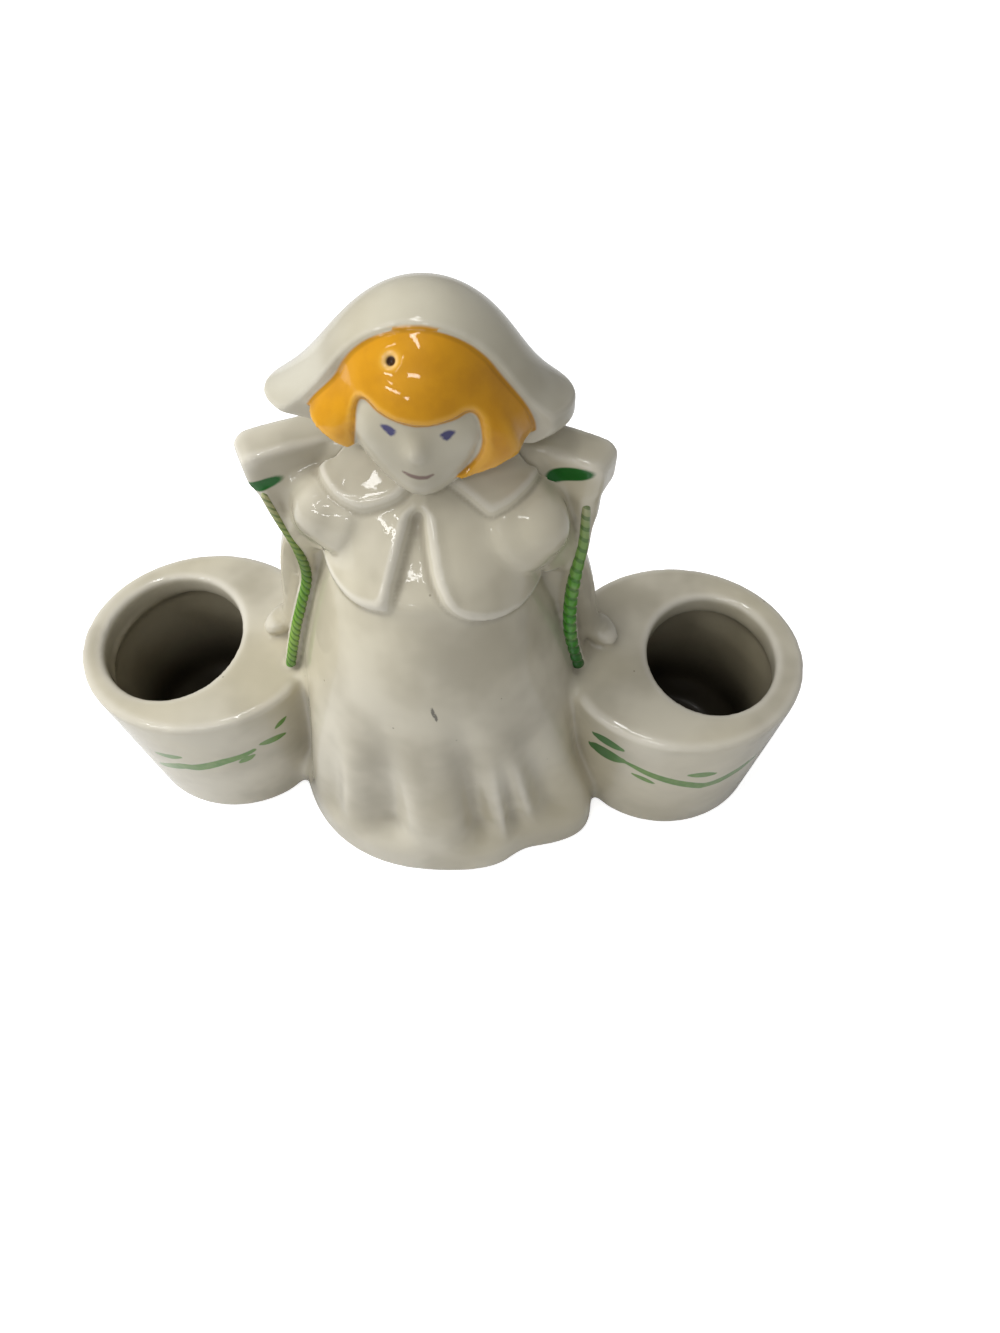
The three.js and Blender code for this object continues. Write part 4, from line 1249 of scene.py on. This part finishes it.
def body_distances(points, fold_depth, height):
    """Rough distance from each point to each form of the body, in the order of BODY_NODES.

    Arms, webs, hands and yoke count as lines or points with a mean radius, which is taken off the distance to them.
    """
    x, y, z = points.T
    around, angle = np.hypot(x, y), np.arctan2(y, x)
    skirt = np.where(z < WAIST_HEIGHT + 2, around - skirt_radius(angle, z, fold_depth), FAR)
    _, torso_angle, off = off_torso(points)
    hem = jacket_hem(torso_angle)
    jacket = np.maximum(np.minimum(off, 1.5), hem - 0.6 - z)
    # The stump of the neck is the jacket's, and above the jacket's hem nothing of the body is the skirt's
    jacket = np.where(z > SHOULDER_TOP - 1, -0.5, jacket)
    skirt = np.where((z > hem - 0.6) & (around < 24) & (np.abs(x) < 19), 3.0, skirt)
    arms = [off_sleeve(points, side) for side in SIDES]
    for side in SIDES:
        arm = away_from_line(points, arm_line(side)[::4]) - ARM_MEAN
        web = away_from_line(points, curve_points(ROPES[side], 12) * [0.94, 1, 1] + [0, 4.5, 0]) - WEB_MEAN
        arms.append(np.minimum(arm, web))
    for side in SIDES:
        hand = [side * HAND_OUT, ARM_SET, height + HAND_RISE]
        arms.append(np.linalg.norm(points - hand, axis=1) - HAND_MEAN)
    yoke = away_from_line(points, yoke_line()[::6]) - YOKE_MEAN
    half_width, _ = pail_half(z, height)
    cones = [pail_share(side * x, y, z, height) - 1 for side in SIDES]
    pails = [np.maximum(cone * half_width, z - height) for cone in cones]
    return np.array([skirt, jacket, *arms, yoke, *pails])


# The body's pieces in the order of their distances, and the collar, which is laid over them
BODY_NODES = (
    *("skirt", "jacket", "sleeve_left", "sleeve_right", "forearm_left", "forearm_right", "hand_left", "hand_right"),
    *("yoke", "pail_left", "pail_right", "collar_left", "collar_right"),
)
PART = {name: index for index, name in enumerate(BODY_NODES)}


def collar_layer(points, owner):
    """How far each vertex lies inside either half of the collar, and which half: only on jacket and sleeves."""
    x, y = points[:, 0], points[:, 1]
    left = away_from_outline(x, y, ROUNDED_COLLAR)
    right = away_from_outline(x, y, POINTED_COLLAR)
    inside = np.maximum(left, right)
    cloth = np.isin(owner, [PART[name] for name in ("jacket", "sleeve_left", "sleeve_right")])
    inside = np.where(cloth & (points[:, 2] > JACKET_HEM + 3), inside, -3.0)
    return inside, left > right


# The radius in mm at which a pail's side is unrolled for its brushwork
UNROLL_RADIUS = 24.0


def vine_layer(points, strokes, side, height):
    """Signed distance to the brushwork on one pail, worked out on its unrolled side."""
    x, y, z = points.T
    turned = from_front(np.arctan2(y, x - side * PAIL_SPACING))
    unrolled = np.stack([np.radians(turned) * UNROLL_RADIUS, z], -1)
    nearest = nearest_stroke(unrolled, strokes, [math.radians(1) * UNROLL_RADIUS, 1])
    on_side = (side * x > 20) & (np.abs(turned) < 100) & (z < height - 1)
    own_side = pail_share(side * x, y, z, height) > 0.9
    return np.where(on_side & own_side, np.minimum(nearest, FAR), FAR)


def pail_depth(points, height):
    """How far each vertex lies below the top of a pail, in mm, if it lies inside that pail, and otherwise none."""
    x, y, z = points.T
    within = (pail_share(np.abs(x), y, z, height, 0.4 * PAIL_WALL) < 1) & (z > 2) & (np.abs(x) > WAIST_RADIUS)
    return np.where(within, height - z, 0.0)


# Rounds of evening out: on every edge, as glaze rounds it, and where soft clay sags
GLAZE_ROUNDS, CLAY_ROUNDS = 6, 60
# How far in mm from a pail's joint and from a sleeve the clay sags, and how far from a rope it begins to
PAIL_SAG, SLEEVE_SAG = 2.4, 4.5
ROPE_CLEAR = (1.6, 3.6)


def softened(verts, edges, distances, owner):
    """The skin under glaze, which rounds every join and edge, the yoke's edges less than the others.

    The clay itself is soft: the sleeves sink into what they touch and the skirt runs into the pails, except beside
    the ropes.
    """
    soft = relaxed((owner != PART["yoke"]).astype(float)[:, None], edges, 4)
    verts = relaxed(verts, edges, GLAZE_ROUNDS, 0.5 * soft)
    to_skirt, to_left, to_right = (np.abs(distances[PART[name]]) for name in ("skirt", "pail_left", "pail_right"))
    to_pails = np.maximum(to_skirt, np.minimum(to_left, to_right))
    clay = bell(to_pails, 0, PAIL_SAG)
    for side in SIDES:
        clay = np.maximum(clay, bell(off_sleeve(verts, side), 0, SLEEVE_SAG))
    for side in SIDES:
        clay = clay * ramp(away_from_line(verts, curve_points(ROPES[side], 40)), *ROPE_CLEAR)
    return relaxed(verts, edges, CLAY_ROUNDS, 0.5 * clay[:, None])


def raised(verts, quads, edges, rise, rounds):
    """The skin raised like cloth by a rise in mm, which is evened out over a few rounds first."""
    rise = relaxed(rise[:, None], edges, rounds)
    return relaxed(verts + rise * soft_normals(verts, quads, edges), edges, 1)


def cloth_rise(inside, low, high, rim):
    """The height of a layer of cloth as a share, which is a little fuller 1.3 mm inside its edge."""
    return ramp(inside, low, high) + rim * bell(inside, 1.3, 0.8)


def with_jacket(verts, quads, edges):
    """The jacket as a layer of cloth on the torso, a little fuller along its edges and thinner in creases."""
    cover, carried = jacket_layer(verts)
    deep = crease_of(verts, edges, normals_of(verts, quads), 1.2)
    rise = JACKET_THICKNESS * cloth_rise(cover, -0.55, 0.65, 0.3) * carried * (1 - 0.9 * ramp(deep, 0.2, 0.7))
    return eased(raised(verts, quads, edges, rise, 3), quads, edges)


def with_collar(verts, quads, edges, inside, thickness):
    """The collar, which spans the creases below it like cloth, stands up over its outline and is fuller at its rim."""
    verts = relaxed(verts, edges, 90, 0.5 * ramp(inside, -1.2, 0.4)[:, None])
    return raised(verts, quads, edges, thickness * cloth_rise(inside, -0.5, 0.7, 0.15), 1)


# Green dabs under the ends of the yoke: middle, half length, half height and slope
DABS = (
    ((-28.6, -1.2, 88.7), 4.1, 1.1, 0.28),
    ((25.0, -0.6, 92.0), 4.2, 1.4, 0.3),
)


def brushwork(verts, owner, height):
    """Signed distance to all green strokes on pails and yoke, and how thin the green is: 0 at full strength."""
    x, y, z = verts.T
    green = np.full(len(verts), FAR)
    tone = np.zeros(len(verts))
    for side, strokes in ((-1, VINE_LEFT), (1, VINE_RIGHT)):
        vine = vine_layer(verts, strokes, side, height)
        green = np.minimum(green, vine)
        # The right pail's leaves near the skirt are full strength, and the rest is thin
        strong = 1 - ramp(x, 34, 44) if side > 0 else 0.0
        tone = np.where(vine < 4, 1 - strong, tone)
    green = np.where(np.isin(owner, [PART["pail_left"], PART["pail_right"]]), green, FAR)
    for centre, reach_x, reach_z, tilt in DABS:
        off_x, off_z = x - centre[0], z - centre[2] - tilt * (x - centre[0])
        dab = (np.hypot(off_x / reach_x, off_z / reach_z) - 1) * reach_z
        yoke = (np.abs(y - centre[1]) < 4) & (owner == PART["yoke"])
        green = np.minimum(green, np.where(yoke, dab, FAR))
    return green, tone


# The short dark mark on the front of the skirt, and its half width
SCRATCH = ((1.1, -24.3, 57.0), (1.6, -25.0, 55.2), (2.4, -25.6, 53.0))
SCRATCH_HALF = 0.4


class PLANTER_OT_body(bpy.types.Operator):
    """Makes the skirt, jacket, collar, arms, yoke and pails as one glazed skin, parted into their pieces"""

    bl_idname = "planter.body"
    bl_label = "Body, yoke and pails"

    def execute(self, context):
        sizes, colours = context.scene.planter_sizes, context.scene.planter_colours
        fold_depth, height, voxel = sizes.fold_depth / MM, sizes.pail_height / MM, sizes.skin_detail / MM
        skins = [skirt_skin(fold_depth), torso_skin(), yoke_skin()]
        for side in SIDES:
            skins += [sleeve_skin(side), forearm_skin(side), web_skin(side, height), hand_skin(side)]
            skins += [gusset_skin(side), rope_bed_skin(side), pail_skin(side, height)]
        verts, quads = joined(skins, voxel)
        edges = edges_of(quads)
        verts = relaxed(verts, edges, 2)
        distances = body_distances(verts, fold_depth, height)
        owner = evened(np.argmin(distances, axis=0), len(distances), edges)
        verts = with_jacket(softened(verts, edges, distances, owner), quads, edges)
        inside, left_half = collar_layer(verts, owner)
        verts = with_collar(verts, quads, edges, inside, sizes.collar_thickness / MM)
        verts[:, 2] = np.maximum(verts[:, 2], 0)
        normals = normals_of(verts, quads)
        collar = np.where(left_half, PART["collar_left"], PART["collar_right"])
        owner = np.where(inside > 0, collar, owner)
        green, tone = brushwork(verts, owner, height)
        layers = {
            "crease": crease_of(verts, edges, normals, 0.8),
            "inside": pail_depth(verts, height),
            "brush": green,
            "tone": tone,
            "scratch": stroke(verts, SCRATCH, SCRATCH_HALF),
        }
        nodes = [(name, "white_glaze") for name in BODY_NODES]
        add_pieces(verts, quads, normals, owner, layers, white_glaze(colours), nodes)
        return {"FINISHED"}


# The head's pieces and their material slots
HEAD_NODES = (("head", "white_glaze"), ("hair", "yellow_glaze"), ("cap", "white_glaze"))

# Edge length of the faces of the head's skin, as a share of the body's
HEAD_DETAIL = 0.54

# A pit that burst in the glaze of the hair, left of the middle: its place, half size, depth and how softly it fades
PIT = np.array([-2.4, -3.9, 118.8])
PIT_HALF, PIT_DEPTH, PIT_FADE = 0.7, 0.9, 0.8


# The painted eyes, each a short thick stroke with a thinner one under it, and the mouth, seen from the front
EYES = (
    (0.6, ((-4.0, 109.6), (-3.1, 109.3), (-2.2, 109.2))),
    (0.5, ((-3.2, 108.8), (-2.4, 108.7))),
    (0.6, ((5.0, 108.6), (5.8, 108.6), (6.7, 108.8))),
    (0.5, ((5.3, 108.1), (6.1, 108.1))),
)
MOUTH = ((0.36, ((-1.4, 102.0), (-0.3, 101.5), (1.0, 101.2), (2.3, 101.2), (3.3, 101.6))),)


def face_layer(points, strokes):
    """Signed distance to brush strokes on the face, which are seen from the front."""
    return np.where(points[:, 1] < -2, nearest_stroke(points[:, [0, 2]], strokes), FAR)


class PLANTER_OT_head(bpy.types.Operator):
    """Makes the head, hair and cap as one glazed skin, parted into their pieces"""

    bl_idname = "planter.head"
    bl_label = "Head, hair and cap"

    def execute(self, context):
        sizes, colours = context.scene.planter_sizes, context.scene.planter_colours
        voxel = HEAD_DETAIL * sizes.skin_detail / MM
        verts, quads = joined([face_skin(), neck_skin(), hair_skin(), cap_skin()], voxel)
        edges = edges_of(quads)
        verts = relaxed(verts, edges, 7)
        normals = normals_of(verts, quads)
        x, y, z = verts.T
        # Paint covers what lies on the hair's own surface, outside the window and above the hair's lower edge
        around = np.hypot(x - HEAD_SHIFT, y - HEAD_SET)
        over = around - hair_radius(np.arctan2(y - HEAD_SET, x - HEAD_SHIFT), z)
        over = np.where(z > hair_top() - 1, on_ball(verts, HEAD_MIDDLE, FACE_HALF + HAIR_THICKNESS), over)
        hair = np.maximum(np.maximum(over - 0.45, in_window(verts) - 0.35), hair_end(x) - 0.3 - z)
        hair = np.where(y > 4, 3.0, hair)
        cap = (y > CAP_EDGE - 0.2) & (hair > 0) & (z > CAP_HEM + 0.3)
        owner = evened(np.where(cap, 2, np.where(hair < 0, 1, 0)), len(HEAD_NODES), edges)
        pit = np.linalg.norm(verts - PIT, axis=1) - PIT_HALF
        verts = verts - (PIT_DEPTH * bell(pit, -PIT_HALF, PIT_FADE))[:, None] * normals
        normals = normals_of(verts, quads)
        layers = {
            "crease": crease_of(verts, edges, normals, 0.6),
            "hair": hair,
            "eye": face_layer(verts, EYES),
            "mouth": face_layer(verts, MOUTH),
            "pit": pit,
        }
        add_pieces(verts, quads, normals, owner, layers, head_glaze(colours), HEAD_NODES)
        return {"FINISHED"}


# Each rope: its name, its share of the radius and of the lay, its strands, and its greens from the pail upwards
ROPE_LOOKS = {
    -1: (
        "left",
        0.78,
        0.66,
        3,
        ((43, "#4c8a1e"), (52, "#7ea63a"), (62, "#5f8f22"), (70, "#557a22"), (78, "#7d9040"), (86, "#a3a277")),
    ),
    1: (
        "right",
        1.0,
        1.0,
        1,
        ((43, "#013c12"), (46, "#0b6212"), (56, "#358a14"), (68, "#4f8f22"), (80, "#7b9c50"), (86, "#a6a780")),
    ),
}


class PLANTER_OT_ropes(bpy.types.Operator):
    """Makes both relief ropes with their twisted strands"""

    bl_idname = "planter.ropes"
    bl_label = "Ropes"

    def execute(self, context):
        sizes = context.scene.planter_sizes
        radius, lay = sizes.rope_radius / MM, sizes.rope_lay / MM
        for side, (word, radius_share, lay_share, strands, greens) in ROPE_LOOKS.items():
            name = f"rope_{word}"
            verts, faces, groove = rope_skin(side, radius_share * radius, lay * lay_share, strands)
            material = rope_glaze(f"glazed_green_{name}", greens)
            add_piece(f"{name}_glazed", verts, faces, None, {"groove": groove}, material, [name])
        return {"FINISHED"}


# The stage: the camera solved from the photo, in mm, degrees and pixels of the photo
CAMERA_AT = np.array([19.73, -117.92, 209.55])
CAMERA_TURN = 3.38
CAMERA_TILT = 55.97
CAMERA_ROLL = -0.87
CAMERA_PIXELS = 963.4
PICTURE_HEIGHT = 1333
SENSOR = 36.0


def camera_matrix():
    """The camera's place and turn: looks along the turned and tilted forward direction, rolled about it."""
    turn, tilt, roll = (math.radians(a) for a in (CAMERA_TURN, CAMERA_TILT, CAMERA_ROLL))
    ahead = np.array([-math.sin(turn) * math.cos(tilt), math.cos(turn) * math.cos(tilt), -math.sin(tilt)])
    right = np.array([math.cos(turn), math.sin(turn), 0.0])
    up = np.cross(right, ahead)
    right, up = math.cos(roll) * right + math.sin(roll) * up, -math.sin(roll) * right + math.cos(roll) * up
    rows = np.eye(4)
    rows[:3] = np.stack([right, up, -ahead, CAMERA_AT * MM], 1)
    return Matrix(rows.tolist())


# The floor's half size, the camera's near and far limit and the soft window: its place and size in metres, in watts
FLOOR_HALF = 3.0
CLIP = (0.005, 20)
WINDOW_AT = (-0.93, 0.08, 0.8)
WINDOW_SIZE = 0.7
WINDOW_POWER = 11.5
# How strongly the white floor glows for the camera, and how bright the room is as a light and as a backdrop
FLOOR_GLOW = 0.76
ROOM_LIGHT, ROOM_SEEN = 0.28, 1.0
PAPER = {"Base Color": (0.8, 0.8, 0.8, 1), "Roughness": 0.9, "Specular IOR Level": 0.1}

# The bright bars of a window's frame, which the glaze mirrors, 1 m from a place: direction, width, height and power
BARS_ROUND = (0, 0, 0.1)
WINDOW_BARS = (
    ("bar_top", (-0.09, -0.04, 1.0), 0.30, 0.06, 0.95),
    ("bar_top_inner", (-0.12, 0.10, 0.99), 0.22, 0.05, 0.5),
    ("bar_left", (-0.56, -0.05, 0.83), 0.02, 0.20, 0.2),
    ("bar_left_low", (-0.45, -0.40, 0.80), 0.025, 0.30, 0.38),
    ("bar_middle", (-0.12, -0.67, 0.74), 0.28, 0.07, 0.95),
    ("bar_collar", (-0.62, -0.48, 0.62), 0.20, 0.06, 0.65),
    ("bar_collar_low", (-0.60, -0.60, 0.52), 0.12, 0.025, 0.16),
    ("bar_foot", (-0.55, -0.73, 0.42), 0.36, 0.04, 0.75),
    ("bar_foot_small", (-0.25, -0.90, 0.36), 0.10, 0.03, 0.15),
)


def add_lamp(name, place, target, width, height, power, glossy):
    """A rectangular lamp that looks at a target; one that isn't glossy lights the clay without a mirror image."""
    light = bpy.data.lights.new(name, "AREA")
    light.shape = "RECTANGLE"
    light.size, light.size_y, light.energy = width, height, power
    lamp = bpy.data.objects.new(name, light)
    lamp.location = place
    lamp.rotation_euler = (Vector(target) - Vector(place)).to_track_quat("-Z", "Y").to_euler()
    lamp.visible_glossy = glossy
    bpy.context.scene.collection.objects.link(lamp)


class PLANTER_OT_stage(bpy.types.Operator):
    """Makes the floor, the camera, the soft window light and the bright bars that the glaze mirrors"""

    bl_idname = "planter.stage"
    bl_label = "Stage"

    def execute(self, context):
        scene = context.scene
        camera = bpy.data.cameras.new("camera")
        camera.sensor_fit = "VERTICAL"
        camera.sensor_height = SENSOR
        camera.lens = CAMERA_PIXELS * SENSOR / PICTURE_HEIGHT
        camera.clip_start, camera.clip_end = CLIP
        eye = bpy.data.objects.new("camera", camera)
        eye.matrix_world = camera_matrix()
        scene.collection.objects.link(eye)
        scene.camera = eye
        corners = FLOOR_HALF * np.array([[-1, -1, 0], [1, -1, 0], [1, 1, 0], [-1, 1, 0]])
        mesh = new_mesh("floor", corners, [np.array([[0, 1, 2, 3]])], scale=1.0)
        floor = bpy.data.objects.new("floor", mesh)
        mesh.materials.append(self.floor_paper())
        scene.collection.objects.link(floor)
        self.world(scene)
        add_lamp("window_soft", WINDOW_AT, (0, 0, 0.05), WINDOW_SIZE, WINDOW_SIZE, WINDOW_POWER, False)
        for name, toward, width, height, power in WINDOW_BARS:
            place = np.array(BARS_ROUND) + np.array(toward) / np.linalg.norm(toward)
            add_lamp(name, place.tolist(), BARS_ROUND, width, height, power, True)
        scene.view_settings.view_transform = "Standard"
        return {"FINISHED"}

    def floor_paper(self):
        """White paper: it glows for the camera, with its shadow kept, and is plain in the glaze and for the light."""
        material, tree, paper = new_material("white_paper", PAPER)
        glow = add_node(tree, "ShaderNodeEmission", {"Strength": FLOOR_GLOW})
        both = add_node(tree, "ShaderNodeAddShader", {0: paper.outputs[0], 1: glow.outputs[0]})
        seen = add_node(tree, "ShaderNodeLightPath").outputs["Is Camera Ray"]
        chosen = add_node(tree, "ShaderNodeMixShader", {0: seen, 1: paper.outputs[0], 2: both.outputs[0]})
        fill(tree, tree.nodes["Material Output"], {"Surface": chosen.outputs[0]})
        return material

    def world(self, scene):
        """A pale room: white to the camera and through glass, and a plain soft level for the light on the clay."""
        world = bpy.data.worlds.new("pale_room")
        world.use_nodes = True
        tree = world.node_tree
        path = add_node(tree, "ShaderNodeLightPath")
        rays = {0: path.outputs["Is Camera Ray"], 1: path.outputs["Is Transmission Ray"]}
        seen = add_node(tree, "ShaderNodeMath", rays, operation="MAXIMUM").outputs[0]
        strength = add_node(tree, "ShaderNodeMapRange", {0: seen, 3: ROOM_LIGHT, 4: ROOM_SEEN})
        fill(tree, tree.nodes["Background"], {"Color": (1, 1, 1, 1), "Strength": strength.outputs[0]})
        scene.world = world


class PLANTER_PT_pieces(bpy.types.Panel):
    """Shows the sizes, the colours and a button for each operator that makes pieces or the stage"""

    bl_idname = "PLANTER_PT_pieces"
    bl_label = "Figural double planter"
    bl_space_type = "VIEW_3D"
    bl_region_type = "UI"
    bl_category = "Planter"

    def draw(self, context):
        for group in (context.scene.planter_sizes, context.scene.planter_colours):
            column = self.layout.column()
            for name in group.__annotations__:
                column.prop(group, name)
        for operator in OPERATORS:
            self.layout.operator(operator.bl_idname)


OPERATORS = (PLANTER_OT_body, PLANTER_OT_head, PLANTER_OT_ropes, PLANTER_OT_stage)
CLASSES = (PlanterSizes, PlanterColours, *OPERATORS, PLANTER_PT_pieces)


def register():
    for made in CLASSES:
        bpy.utils.register_class(made)
    bpy.types.Scene.planter_sizes = bpy.props.PointerProperty(type=PlanterSizes)
    bpy.types.Scene.planter_colours = bpy.props.PointerProperty(type=PlanterColours)


def unregister():
    del bpy.types.Scene.planter_colours
    del bpy.types.Scene.planter_sizes
    for made in reversed(CLASSES):
        bpy.utils.unregister_class(made)


def main():
    """Registers the add-on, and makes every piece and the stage."""
    register()
    for make in (bpy.ops.planter.stage, bpy.ops.planter.body, bpy.ops.planter.head, bpy.ops.planter.ropes):
        make()
    bpy.context.view_layer.update()


if __name__ == "__main__":
    main()
